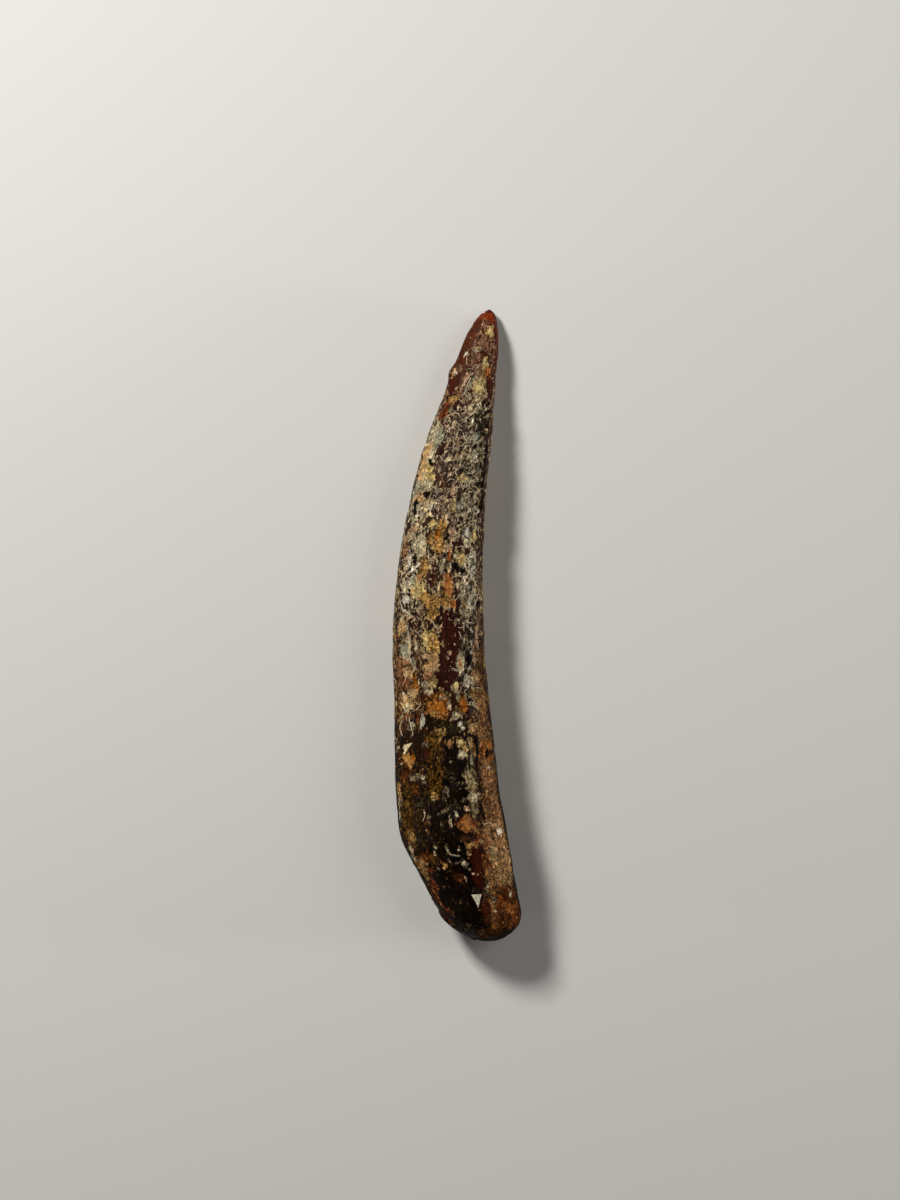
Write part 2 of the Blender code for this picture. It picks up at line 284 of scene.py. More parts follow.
LOWER_CROWN_STROKES = (
    ("umber", 1.2, 32.5, 0.55, 4.2),
    ("dense speckle", -3.6, 33.5, 0.9, 3.5),
    ("dense speckle", 1.1, 33.0, 0.7, 4.5),
    ("plum", 2.05, 34.5, 0.26, 1.8),
    ("mauve", 1.95, 31.4, 0.24, 1.6),
    ("mauve", 1.95, 28.4, 0.22, 1.5),
    ("pink", -3.9, 35.7, 0.28, 0.4),
    ("cream", -4.1, 35.2, 0.25, 0.3),
    ("cream", -3.3, 34.3, 0.45, 0.75),
    ("white", -4.1, 33.3, 0.1, 0.45),
    ("groove", -3.8, 33.3, 0.2, 0.4),
    ("white", -3.8, 32.5, 0.12, 0.4, 40),
    ("tan", -4.4, 34.2, 0.25, 0.8),
    ("plum", -2.7, 36.1, 0.28, 0.5),
    ("plum", -2.5, 35.5, 0.25, 0.35),
    ("yellow cream", -2.15, 36.4, 0.3, 0.35),
    ("gold", -1.4, 35.7, 0.35, 1.0),
    ("golden orange", -1.75, 35.3, 0.2, 0.5),
    ("gold", -1.6, 34.4, 0.45, 0.45),
    ("ochre", -2.3, 35.0, 0.25, 0.45),
    ("brown", -1.6, 33.6, 0.55, 0.25),
    ("brown", -2.1, 32.4, 0.4, 0.8),
    ("maroon", -2.25, 31.6, 0.26, 0.5),
    ("brown", -1.65, 31.5, 0.36, 0.7),
    ("brown", -2.0, 30.8, 0.3, 0.4),
    ("brown", -1.7, 30.2, 0.22, 0.14),
    ("cream", -1.3, 32.8, 0.22, 0.4),
    ("pink", -0.7, 34.2, 0.28, 0.35),
    ("pink", -0.4, 35.2, 0.2, 0.5),
    ("orange", -0.6, 33.4, 0.18, 0.45),
    ("cream", -0.6, 32.6, 0.22, 0.25),
    ("yellow cream", 0.4, 33.4, 0.28, 0.5),
    ("groove", -0.1, 32.75, 0.22, 0.18),
    ("groove", -0.3, 32.3, 0.18, 0.13),
    ("mauve", -0.25, 32.0, 0.3, 0.25),
    ("groove", 0.5, 32.2, 0.15, 0.22),
    ("brown", 0.3, 31.3, 0.14, 0.5, -40),
    ("apricot", -0.85, 31.3, 0.36, 0.55),
    ("orange cream", -1.2, 31.2, 0.14, 0.4, 15),
    ("apricot", -0.8, 30.4, 0.36, 0.5),
    ("gold", -1.0, 29.7, 0.4, 0.4),
    ("apricot", -0.3, 29.4, 0.22, 0.32),
    ("apricot", -2.35, 29.3, 0.26, 0.3),
    ("apricot", -3.3, 31.6, 0.28, 0.3),
    ("ochre", -2.9, 32.6, 0.34, 0.7),
    ("gold", -2.75, 32.3, 0.16, 0.5),
    ("grey green", -3.95, 31.3, 0.26, 0.6),
    ("yellow cream", -3.4, 30.6, 0.6, 0.75),
    ("gold", -2.6, 29.9, 0.45, 0.35),
    ("gold", -1.8, 29.5, 0.3, 0.4),
    ("gold", -2.1, 28.6, 0.38, 0.6),
    ("cream", -4.45, 30.8, 0.35, 0.45),
    ("white", -4.45, 29.8, 0.22, 0.38),
    ("groove", -4.5, 30.2, 0.25, 0.06),
    ("groove", -4.1, 30.4, 0.06, 0.35),
    ("groove", -4.7, 29.4, 0.06, 0.2, -20),
    ("brown", -4.4, 31.8, 0.3, 0.35),
    ("white", -4.85, 29.3, 0.08, 0.4),
    ("white", -4.55, 28.75, 0.07, 0.35, -55),
    ("white", -4.0, 28.35, 0.07, 0.4, -55),
    ("orange cream", -4.75, 27.5, 0.32, 0.6),
    ("groove", -3.7, 28.55, 0.35, 0.1),
    ("mauve", -3.1, 28.7, 0.35, 0.4),
    ("grey green", 0.8, 35.2, 0.25, 0.4),
    ("white", 0.85, 35.6, 0.16, 0.35),
    ("groove", 0.85, 35.15, 0.2, 0.05, 50),
    ("yellow cream", 1.5, 35.3, 0.22, 0.5),
    ("cream", 0.8, 34.8, 0.22, 0.2),
    ("maroon", 0.4, 34.4, 0.3, 0.4),
    ("maroon", 0.9, 33.9, 0.3, 0.3),
    ("mauve", 1.4, 34.2, 0.22, 0.35),
    ("brown", 1.3, 31.4, 0.32, 0.4),
    ("white", 1.0, 30.8, 0.12, 0.22),
    ("white", 1.5, 30.6, 0.12, 0.2),
    ("groove", 1.85, 29.4, 0.08, 0.3),
    ("yellow cream", 0.7, 29.2, 0.26, 0.5),
    ("grey green", 0.8, 28.6, 0.25, 0.3),
    ("maroon", 0.0, 29.5, 0.14, 0.8),
    ("plum", -0.1, 30.5, 0.18, 0.4),
    ("cream", 0.5, 30.7, 0.18, 0.6),
    ("cream", 0.6, 31.8, 0.14, 0.2),
    ("maroon", -1.0, 28.5, 0.35, 0.4),
)

MIDDLE_STROKES = (
    ("brown crust", -4.7, 22.5, 0.8, 4.0),
    ("black", 1.1, 25.0, 0.45, 3.2),
    ("pale speckle", 1.0, 24.5, 0.7, 3.6),
    ("brown crust", 2.1, 23.0, 0.4, 3.6),
    ("yellow cream", -2.7, 26.5, 0.42, 0.5),
    ("gold", -2.0, 25.7, 0.4, 0.85),
    ("yellow cream", -2.75, 25.6, 0.2, 0.5),
    ("groove", -2.65, 25.45, 0.08, 0.3),
    ("pink", -2.7, 24.9, 0.3, 0.2),
    ("orange cream", -2.1, 24.5, 0.5, 0.6),
    ("orange cream", -2.5, 23.7, 0.45, 0.5),
    ("rose tan", -2.5, 22.9, 0.5, 0.5),
    ("yellow cream", -2.0, 22.5, 0.28, 0.35),
    ("cream", -2.75, 22.4, 0.22, 0.25),
    ("cream", -2.5, 21.75, 0.28, 0.2),
    ("enamel", -0.5, 26.7, 0.86, 1.4),
    ("enamel", -0.55, 25.0, 0.84, 1.1),
    ("enamel", -0.72, 23.5, 0.84, 1.0),
    ("enamel", -0.95, 22.4, 0.55, 0.4),
    ("brown", -1.2, 26.0, 0.1, 0.5),
    ("pink", -1.45, 27.3, 0.12, 0.28),
    ("pink", -0.05, 27.8, 0.1, 0.3),
    ("veil", -0.15, 26.8, 0.12, 0.2),
    ("pink", -0.55, 25.1, 0.13, 0.28),
    ("pink", -0.7, 24.65, 0.08, 0.1),
    ("veil", -0.9, 22.7, 0.14, 0.14),
    ("veil", -1.25, 22.05, 0.12, 0.1),
    ("brown", -3.6, 26.6, 0.3, 1.4),
    ("brown", -3.45, 24.4, 0.26, 1.3),
    ("plum", -3.4, 23.0, 0.2, 0.5),
    ("cream", -3.65, 25.6, 0.14, 0.45),
    ("cream", -4.8, 28.0, 0.14, 0.3),
    ("orange cream", -4.85, 27.3, 0.28, 0.5),
    ("cream", -4.25, 26.7, 0.1, 0.7, -12),
    ("cream", -4.3, 25.2, 0.14, 1.0),
    ("grey crust", -4.65, 26.5, 0.25, 0.4),
    ("grey green", -4.65, 25.4, 0.28, 0.5),
    ("cream", -4.4, 24.4, 0.2, 0.4),
    ("grey green", -3.85, 24.1, 0.16, 0.6),
    ("rose tan", -4.7, 24.0, 0.5, 0.4),
    ("rose tan", -4.9, 23.0, 0.4, 0.5),
    ("orange cream", -4.35, 23.4, 0.3, 0.4),
    ("rust", -4.75, 22.6, 0.28, 0.3),
    ("golden orange", -3.8, 22.3, 0.24, 0.7),
    ("rust", -4.5, 21.95, 0.35, 0.08),
    ("orange cream", -4.0, 21.6, 0.35, 0.35),
    ("cream", -4.8, 21.3, 0.2, 0.3),
    ("orange cream", -4.6, 20.7, 0.45, 0.5),
    ("cream", -4.5, 20.3, 0.28, 0.3),
    ("orange", -4.6, 19.6, 0.3, 0.2),
    ("brown", -3.4, 20.6, 0.4, 0.5),
    ("brown", -3.2, 19.7, 0.3, 0.3),
    ("maroon", -2.85, 21.3, 0.25, 0.25),
    ("maroon", -0.3, 21.0, 0.18, 0.8),
    ("deep red", -0.5, 20.2, 0.25, 0.5),
    ("boss", -1.73, 20.55, 0.95, 0.92),
    ("golden orange", -1.5, 20.45, 0.45, 0.45),
    ("pink", -1.2, 21.3, 0.3, 0.14),
    ("rust", -1.65, 21.2, 0.13, 0.1),
    ("rust", -0.95, 20.75, 0.1, 0.25),
    ("gold", -2.0, 19.8, 0.35, 0.16),
    ("cream", -0.62, 20.6, 0.14, 0.3),
    ("boss", 0.55, 20.8, 0.34, 0.6),
    ("golden orange", 0.7, 20.6, 0.2, 0.5),
    ("cream", 0.2, 21.3, 0.12, 0.25),
    ("cream", -0.05, 22.25, 0.24, 0.42),
    ("veil", -0.42, 22.0, 0.16, 0.28),
    ("cream", 0.45, 24.3, 0.28, 0.75),
    ("cream", 0.35, 23.4, 0.14, 0.3),
    ("orange", 0.45, 24.25, 0.1, 0.42),
    ("groove", 1.15, 24.6, 0.2, 0.6),
    ("green black", 1.05, 23.5, 0.25, 0.3),
    ("pink", 1.85, 26.5, 0.16, 0.8),
    ("pink", 1.6, 24.8, 0.12, 0.5),
    ("white", 1.0, 27.6, 0.08, 0.2, 20),
    ("white", 1.35, 27.1, 0.08, 0.16, -25),
    ("cream", 0.95, 26.5, 0.08, 0.18),
    ("white", 1.4, 26.1, 0.08, 0.16, 30),
    ("cream", 1.05, 25.6, 0.07, 0.14, -20),
    ("white", 1.4, 25.2, 0.07, 0.16, 15),
    ("white", 1.25, 23.9, 0.08, 0.18, -15),
    ("orange cream", 1.7, 23.2, 0.3, 0.45),
    ("cream", 1.5, 22.7, 0.14, 0.3),
    ("ochre", 1.5, 21.6, 0.3, 0.5),
    ("cream", 1.85, 20.7, 0.28, 0.35),
    ("tan", 2.3, 21.0, 0.3, 1.0),
    ("brown", 1.75, 19.7, 0.38, 0.25),
    ("maroon", 1.1, 19.6, 0.18, 0.25),
    ("maroon", 1.1, 20.3, 0.18, 0.35),
    ("green black", -1.3, 19.1, 0.8, 0.32),
    ("black", -2.5, 19.3, 0.28, 0.5),
    ("green black", -0.4, 18.6, 0.5, 0.4),
    ("cream", 0.05, 19.7, 0.35, 0.3),
    ("white", 0.3, 19.0, 0.16, 0.16),
    ("white", 0.55, 18.6, 0.14, 0.14),
    ("white", -3.1, 19.2, 0.16, 0.5),
    ("rust", -3.6, 19.5, 0.25, 0.35),
    ("brown", -3.6, 18.8, 0.2, 0.4),
    ("brown", -4.7, 18.6, 0.25, 0.4),
    ("cream", -4.1, 18.6, 0.26, 0.6),
    ("ochre", -1.5, 18.4, 0.45, 0.35),
    ("orange cream", 1.6, 18.6, 0.45, 0.4),
    ("tan", 2.4, 18.5, 0.45, 0.7),
    ("maroon", -2.8, 18.4, 0.35, 0.45),
)

UPPER_ROOT_STROKES = (
    ("umber", -3.7, 14.5, 1.5, 4.5),
    ("umber", -3.4, 9.5, 1.4, 3.5),
    ("umber", -2.1, 14.5, 0.6, 3.5),
    ("sienna", 2.9, 14.5, 0.7, 4.5),
    ("sienna", 3.4, 8.5, 1.0, 5.0),
    ("sienna", 4.0, 3.5, 1.0, 3.0),
    ("umber", 2.2, 7.5, 0.8, 3.0),
    ("fibres", -3.6, 16.0, 1.3, 1.6),
    ("fibres", -3.2, 12.8, 1.4, 2.0),
    ("fibres", -3.4, 9.6, 1.3, 2.2),
    ("black", -0.6, 15.6, 0.6, 1.0),
    ("black", -0.2, 13.0, 0.7, 0.75),
    ("black", -1.5, 10.6, 0.7, 0.9),
    ("black", -2.4, 11.6, 0.3, 0.45),
    ("black", 0.3, 15.7, 0.4, 0.3),
    ("green fibres", -0.6, 14.6, 0.6, 0.5),
    ("green fibres", -0.3, 12.0, 0.8, 0.4),
    ("green fibres", -0.5, 11.2, 0.35, 0.5),
    ("dusky", -1.15, 14.3, 0.14, 0.12),
    ("dusky", -0.4, 14.3, 0.12, 0.14),
    ("dusky", -0.9, 13.2, 0.2, 0.4),
    ("dusky", 0.2, 13.85, 0.28, 0.14),
    ("dusky", -1.1, 12.5, 0.18, 0.3),
    ("dusky", 0.6, 12.5, 0.2, 0.2),
    ("dusky", -1.3, 10.3, 0.16, 0.2),
    ("dusky", -1.3, 11.4, 0.5, 0.14, -25),
    ("golden cream", -4.2, 15.85, 0.42, 0.5),
    ("golden orange", -3.85, 16.1, 0.14, 0.28),
    ("amber", -4.95, 16.0, 0.2, 0.6),
    ("amber", -4.5, 14.7, 0.4, 0.6),
    ("grey crust", -3.3, 14.4, 0.5, 0.22),
    ("cream", -3.0, 14.3, 0.18, 0.14),
    ("cream", -3.8, 14.1, 0.14, 0.1),
    ("cream", -2.8, 13.9, 0.12, 0.14),
    ("green fibres", -2.4, 14.5, 0.3, 0.3),
    ("olive", -3.0, 15.5, 0.5, 0.4),
    ("mustard", -1.9, 15.4, 0.62, 1.3),
    ("mustard", -1.6, 17.1, 0.4, 0.8),
    ("ochre", -1.6, 17.6, 0.14, 0.3),
    ("mustard", -2.3, 17.4, 0.5, 0.6),
    ("deep red", -2.75, 16.4, 0.22, 0.45),
    ("dusky", -2.8, 17.2, 0.3, 0.12),
    ("mustard", -1.85, 13.6, 0.55, 0.7),
    ("mustard", -2.1, 12.8, 0.5, 0.5),
    ("gold", -2.0, 12.75, 0.22, 0.3),
    ("olive", -2.9, 12.7, 0.5, 0.5),
    ("amber", -3.6, 13.4, 0.2, 0.5),
    ("mustard", -4.3, 13.4, 0.4, 0.5),
    ("ochre", -4.95, 12.9, 0.16, 1.0),
    ("dusky", -5.0, 12.2, 0.1, 0.6),
    ("mustard", -4.35, 11.0, 0.5, 1.4),
    ("dusky", -4.85, 10.8, 0.12, 0.5, -8),
    ("green fibres", -3.1, 11.9, 0.5, 0.5),
    ("olive", -3.4, 10.9, 0.4, 0.5),
    ("dusky", -2.4, 10.9, 0.12, 0.3),
    ("tan", -0.6, 17.3, 0.22, 0.32),
    ("dusky", -0.55, 15.7, 0.18, 0.13),
    ("yellow cream", 0.4, 17.35, 0.32, 0.35),
    ("gold", 0.55, 17.25, 0.14, 0.14),
    ("yellow cream", 0.7, 16.85, 0.22, 0.22),
    ("cream", 0.4, 16.3, 0.32, 0.3),
    ("orange cream", 1.25, 17.4, 0.22, 0.5),
    ("orange cream", 1.5, 16.5, 0.22, 0.7),
    ("cream", 1.5, 15.8, 0.28, 0.35),
    ("grey crust", 0.9, 14.5, 0.34, 0.6),
    ("grey crust", 1.4, 14.9, 0.28, 0.3),
    ("grey crust", 1.3, 13.7, 0.45, 0.9),
    ("cream", 1.4, 12.6, 0.34, 0.5),
    ("grey crust", 1.5, 11.3, 0.25, 0.5),
    ("groove", 1.65, 17.6, 0.11, 0.32, -15),
    ("groove", 1.92, 16.4, 0.13, 1.1),
    ("groove", 2.0, 14.6, 0.11, 1.0),
    ("groove", 2.05, 13.1, 0.13, 0.9),
    ("groove", 2.15, 11.4, 0.2, 0.9, -14),
    ("pink", 2.4, 17.0, 0.26, 0.35),
    ("orange", 2.65, 16.5, 0.42, 0.75),
    ("orange", 2.95, 17.1, 0.25, 0.35),
    ("groove", 2.6, 16.45, 0.18, 0.33),
    ("white", 2.75, 15.15, 0.18, 0.22),
    ("tan", 2.75, 14.0, 0.42, 1.4),
    ("brown", 3.0, 13.3, 0.2, 0.3),
    ("orange cream", 2.6, 12.7, 0.25, 0.4),
    ("tan", 3.0, 12.0, 0.6, 1.2),
    ("tan", 3.2, 10.7, 0.6, 0.7),
    ("cream", 2.6, 10.35, 0.32, 0.06, 20),
    ("cream", 3.0, 10.3, 0.15, 0.06, -20),
    ("rust", 0.8, 10.3, 0.7, 0.6),
    ("apricot", 0.8, 10.6, 0.26, 0.55, 8),
    ("apricot", 0.85, 10.0, 0.6, 0.26),
    ("tan", 2.1, 9.75, 0.55, 0.2),
    ("orange", 0.35, 10.25, 0.25, 0.25),
    ("cream", -0.05, 11.2, 0.12, 0.25),
    ("cream", -0.55, 10.45, 0.12, 0.35),
    ("pink", 0.85, 11.65, 0.22, 0.16),
    ("white", 3.5, 9.6, 0.22, 0.32),
)

ROOT_END_STROKES = (
    ("mustard", -4.2, 9.3, 0.45, 0.8),
    ("ochre", -3.9, 9.2, 0.25, 0.4),
    ("green fibres", -2.8, 9.0, 0.6, 0.45),
    ("olive", -2.4, 8.3, 0.5, 0.3),
    ("cream", -1.9, 7.8, 0.12, 0.2),
    ("cream", -1.75, 8.3, 0.12, 0.16),
    ("amber", -2.7, 7.5, 0.7, 0.5),
    ("orange", -3.0, 7.1, 0.4, 0.25),
    ("cream", -3.62, 7.2, 0.16, 0.4, -20),
    ("cream", -3.85, 8.1, 0.12, 0.3),
    ("ochre", -3.05, 6.5, 0.4, 0.45, -25),
    ("ochre", -2.8, 5.8, 0.25, 0.5, -25),
    ("mustard", -1.8, 7.0, 0.45, 0.3),
    ("amber", -2.2, 6.4, 0.4, 0.3),
    ("gold", -0.95, 6.65, 0.3, 0.3),
    ("black", -1.3, 7.8, 0.26, 0.45),
    ("black", -0.4, 9.3, 0.45, 0.35),
    ("black", -1.4, 6.0, 0.5, 0.25),
    ("black", -1.0, 5.0, 0.55, 0.7),
    ("umber", -0.3, 6.3, 0.5, 0.7),
    ("black", 0.4, 4.6, 0.5, 0.7),
    ("black", 0.3, 3.2, 0.8, 0.9),
    ("green fibres", 0.1, 3.5, 0.3, 0.2),
    ("green fibres", 2.1, 4.6, 0.6, 0.25),
    ("black", 1.4, 2.2, 1.0, 0.6),
    ("black", -1.0, 2.6, 0.35, 0.3),
    ("olive", -2.55, 5.2, 0.14, 0.7, -28),
    ("amber", -2.2, 4.3, 0.14, 1.4, -28),
    ("amber", -1.3, 2.5, 0.14, 0.8, -35),
    ("amber", 0.2, 5.7, 0.5, 0.35),
    ("dusky", 1.3, 1.4, 0.3, 0.25),
    ("dusky", 0.8, 1.0, 0.3, 0.2),
    ("dusky", 1.7, 0.8, 0.2, 0.2),
    ("cream", -0.8, 8.1, 0.06, 0.38, -15),
    ("cream", -0.35, 7.65, 0.32, 0.06, 15),
    ("cream", 0.15, 7.57, 0.22, 0.05),
    ("white", -0.05, 6.95, 0.12, 0.13),
    ("cream", 0.65, 6.9, 0.24, 0.36),
    ("cream", 1.1, 6.35, 0.12, 0.12),
    ("cream", 0.7, 5.6, 0.08, 0.3),
    ("cream", 1.45, 5.95, 0.15, 0.13),
    ("pink", 1.8, 5.9, 0.12, 0.14),
    ("cream", -0.7, 7.2, 0.1, 0.12),
    ("cream", -1.6, 6.4, 0.1, 0.1),
    ("tan", 1.3, 8.5, 0.36, 0.4),
    ("gold", 0.95, 8.4, 0.18, 0.35),
    ("orange cream", 1.1, 7.8, 0.2, 0.3),
    ("deep red", 1.75, 7.2, 0.5, 1.1),
    ("deep red", 1.9, 5.6, 0.5, 0.8),
    ("brown", 0.7, 9.1, 0.5, 0.25),
    ("rust", 2.3, 8.9, 0.55, 0.4),
    ("pink", 2.15, 8.8, 0.16, 0.16),
    ("tan", 3.4, 7.6, 0.7, 2.1),
    ("orange cream", 3.2, 7.4, 0.3, 0.9),
    ("pale tan", 4.0, 8.2, 0.4, 1.6),
    ("pale tan", 4.5, 6.8, 0.3, 1.1),
    ("orange", 2.7, 6.6, 0.3, 1.0),
    ("tan", 3.5, 5.3, 0.8, 0.9),
    ("pale tan", 4.3, 5.1, 0.35, 0.9, -12),
    ("grey crust", 2.75, 4.7, 0.28, 0.4),
    ("tan", 3.1, 4.6, 0.2, 0.5),
    # painted glow: the root's end on the right made brighter, as light shining through
    ("glow", 4.3, 3.3, 1.0, 1.2),
    ("glow", 4.4, 1.9, 1.2, 0.9),
    ("glow", 3.4, 0.8, 0.9, 0.35),
    ("orange", 4.5, 2.9, 0.35, 0.35),
    ("orange", 3.9, 1.4, 0.4, 0.22),
    ("tan", 2.75, 0.75, 0.36, 0.2),
    ("white", 4.58, 4.15, 0.1, 0.18),
    ("deep red", 2.5, 2.9, 0.36, 0.7),
    ("tan", 3.15, 2.9, 0.16, 0.9),
    ("cream", 3.17, 3.75, 0.1, 0.2),
    ("rust", -2.0, 5.0, 0.2, 0.7, -10),
    ("orange", -1.85, 4.3, 0.1, 0.5, -20),
    ("rust", -1.3, 3.4, 0.18, 0.55, -35),
    ("rust", -0.6, 2.9, 0.14, 0.35, -20),
    ("tan", -0.1, 2.4, 0.1, 0.25, -15),
    ("rust", -0.65, 1.9, 0.28, 0.35, -30),
    ("ochre", -0.4, 1.6, 0.2, 0.14, -40),
    ("umber", 2.0, 0.4, 0.8, 0.25),
)

ALL_STROKES = (
    TIP_STROKES
    + UPPER_CROWN_STROKES
    + LOWER_CROWN_STROKES
    + MIDDLE_STROKES
    + UPPER_ROOT_STROKES
    + ROOT_END_STROKES
)

# Pale rings round a grey-green middle: (across, along, half width, half length)
RINGS = (
    (1.25, 33.0, 0.34, 0.72),
    (1.4, 31.9, 0.24, 0.26),
    (1.35, 29.6, 0.3, 0.55),
    (1.0, 22.7, 0.25, 0.42),
    (1.65, 37.5, 0.25, 0.28),
)
RING_MIDDLE = 0.62

# Raised pale threads of mineral: (radius, the places it passes)
THREAD_SIDES = 5
THREAD_STEP = 0.09
THREAD_SRGB = (176, 164, 140)
HAND_THREAD_SHADE = 1.3
THREADS = (
    (0.05, ((-5.0, 29.7), (-4.85, 29.0), (-4.5, 28.7), (-3.65, 28.1))),
    (0.045, ((-4.1, 28.5), (-4.64, 28.3), (-4.8, 27.9))),
    (0.04, ((-2.7, 28.3), (-2.1, 27.8), (-1.9, 27.2))),
    (0.05, ((-4.3, 27.1), (-4.3, 26.5), (-4.1, 25.7), (-4.15, 24.7), (-3.75, 23.5))),
    (0.045, ((-4.5, 23.9), (-4.75, 23.3), (-4.6, 22.9), (-4.9, 22.3))),
    (0.05, ((-4.9, 19.3), (-5.0, 18.6), (-4.75, 17.9))),
    (0.05, ((-4.15, 20.0), (-4.25, 19.3), (-4.0, 18.4), (-3.9, 17.9))),
    (0.045, ((-3.1, 19.9), (-3.3, 19.2), (-3.15, 18.6))),
    (0.055, ((-4.0, 32.8), (-3.7, 32.45), (-3.45, 32.0))),
    (0.05, ((-4.1, 33.9), (-4.2, 33.4), (-4.1, 33.0))),
    (0.05, ((-3.0, 36.0), (-3.15, 35.2), (-2.85, 34.6))),
    (0.045, ((1.05, 33.8), (1.3, 33.75), (1.5, 33.9))),
    (0.05, ((1.5, 31.2), (1.45, 30.7), (1.6, 30.2))),
    (0.055, ((1.05, 29.9), (1.25, 30.2), (1.55, 30.15), (1.85, 30.2), (1.8, 29.8), (1.5, 29.6))),
    (0.05, ((1.05, 29.4), (1.25, 29.1), (1.15, 28.8), (1.45, 28.6))),
    (0.045, ((0.55, 47.6), (0.95, 48.5), (1.4, 49.5))),
    (0.04, ((0.2, 47.8), (0.55, 48.5), (0.9, 49.2))),
    (0.045, ((-0.9, 8.4), (-0.75, 7.9), (-0.2, 7.6), (0.3, 7.55))),
    (0.05, ((2.25, 10.15), (2.6, 10.4), (2.95, 10.4), (3.1, 10.15))),
    (0.04, ((-5.05, 12.6), (-5.0, 11.5), (-4.9, 10.5))),
    (0.045, ((-2.85, 11.6), (-2.75, 11.0), (-2.95, 10.5))),
    (0.045, ((-1.1, 45.1), (-0.7, 45.8), (0.0, 45.95), (0.3, 45.6))),
    (0.045, ((-1.0, 44.9), (-0.6, 44.6), (-0.2, 44.9))),
    (0.04, ((0.5, 44.3), (0.75, 43.7), (1.1, 43.5))),
)
# Where short curls are strewn: (least across, most across, from along, to along, how many)
CURL_AREAS = (
    (-1.7, 0.8, 36.5, 45.3, 80),
    (0.6, 1.9, 36.5, 45.3, 70),
    (0.5, 1.9, 20.5, 36.5, 75),
    (-4.8, -3.0, 18.0, 36.0, 60),
    (-3.2, -1.6, 36.0, 42.5, 12),
    (0.4, 1.9, 46.0, 50.5, 10),
)
HIDDEN_CURLS = 160
CURL_LIMIT = 0.93  # as a share of the half width, so that no curl is bent round the edge

# Pale angular flakes: (colour, thickness, corners as (across, along, how far it is lifted))
FLAKES = (
    ((194, 178, 146), 0.10, ((-4.95, 16.95, 0.3), (-4.4, 16.3, 0.15), (-3.85, 17.35, 0.3))),
    ((190, 194, 174), 0.10, ((1.27, 4.2, 0.12), (1.55, 3.75, 0.0), (1.87, 3.08, 0.02), (2.13, 4.22, 0.16))),
    ((206, 200, 182), 0.07, ((3.35, 9.85, 0.05), (3.4, 9.35, 0.0), (3.72, 9.5, 0.06), (3.65, 9.95, 0.1))),
)

# Single grains that stand out: (paint, across, along, half width, half length)
PEBBLE_THICKNESS = 0.75
PEBBLE_SHIFT = 0.15  # a grain on a bump that stands out further than this stays on the bump
PEBBLES = (
    ("pale tan", -0.12, 49.85, 0.13, 0.15),
    ("cream", -0.14, 49.58, 0.16, 0.2),
    ("dusky", -0.16, 49.3, 0.12, 0.14),
    ("white", -0.02, 49.45, 0.09, 0.13),
    ("white", 0.8, 51.2, 0.1, 0.24),
    ("yellow cream", 2.95, 53.15, 0.22, 0.3),
    ("pale tan", 1.8, 51.65, 0.2, 0.17),
    ("yellow cream", 1.95, 48.1, 0.26, 0.36),
    ("orange", 2.78, 49.6, 0.2, 0.28),
    ("ochre", -0.4, 47.1, 0.22, 0.26),
    ("cream", 1.2, 46.35, 0.26, 0.2),
    ("cream", 0.8, 34.85, 0.2, 0.24),
    ("yellow cream", 1.5, 35.3, 0.2, 0.42),
    ("cream", -0.15, 33.5, 0.16, 0.22),
    ("yellow cream", -0.05, 22.25, 0.24, 0.46),
    ("dusky", -0.42, 22.05, 0.13, 0.28),
    ("pink", -0.55, 25.05, 0.11, 0.24),
    ("pink", -0.7, 24.65, 0.07, 0.09),
    ("white", 0.3, 19.0, 0.14, 0.14),
    ("white", 0.52, 18.6, 0.13, 0.14),
    ("yellow cream", 0.35, 17.4, 0.24, 0.28),
    ("ochre", 0.65, 16.85, 0.18, 0.26),
    ("cream", 0.35, 16.25, 0.26, 0.24),
    ("tan", -0.6, 17.25, 0.14, 0.28),
    ("dusky", -0.55, 15.68, 0.14, 0.13),
    ("pink", 2.75, 15.2, 0.13, 0.16),
    ("cream", -1.9, 7.8, 0.11, 0.17),
    ("dusky", -0.05, 6.9, 0.1, 0.17),
    ("cream", 0.62, 6.85, 0.2, 0.3),
    ("pink", 1.1, 6.35, 0.12, 0.14),
    ("pink", 1.42, 5.97, 0.14, 0.13),
    ("tan", 1.82, 5.93, 0.09, 0.1),
    ("pink", 0.72, 5.6, 0.09, 0.24),
    ("ochre", -0.95, 6.6, 0.2, 0.24),
    ("white", 4.58, 4.15, 0.09, 0.14),
)

GRAIN_RADII = (0.06, 0.15)
GRAIN_SINK = 0.25  # how far a grain's middle stands above the surface, as a share of its radius
GRAIN_TINTS = (None, (172, 156, 126), (60, 40, 26), (150, 92, 44))  # None takes the sediment's colour
GRAIN_ODDS = (0.78, 0.07, 0.12, 0.03)

# The bare tooth, the sediment and its cover along the tooth: (along, tooth, sediment, cover)
ZONES = (
    (0.0, (12, 7, 4), (88, 56, 28), 0.02),
    (8.0, (10, 6, 3), (96, 66, 36), 0.05),
    (17.0, (13, 8, 4), (120, 92, 56), 0.13),
    (20.0, (30, 15, 9), (150, 122, 84), 0.28),
    (28.0, (36, 19, 14), (168, 148, 114), 0.34),
    (36.0, (40, 24, 19), (182, 168, 140), 0.40),
    (46.0, (44, 27, 21), (180, 164, 136), 0.40),
    (48.5, (64, 31, 20), (160, 136, 108), 0.32),
    (51.0, (70, 29, 17), (168, 140, 108), 0.16),
    # the last step up in brightness at the tip is partly painted glow, light shining through it
    (55.0, (100, 40, 18), (176, 140, 104), 0.0),
)

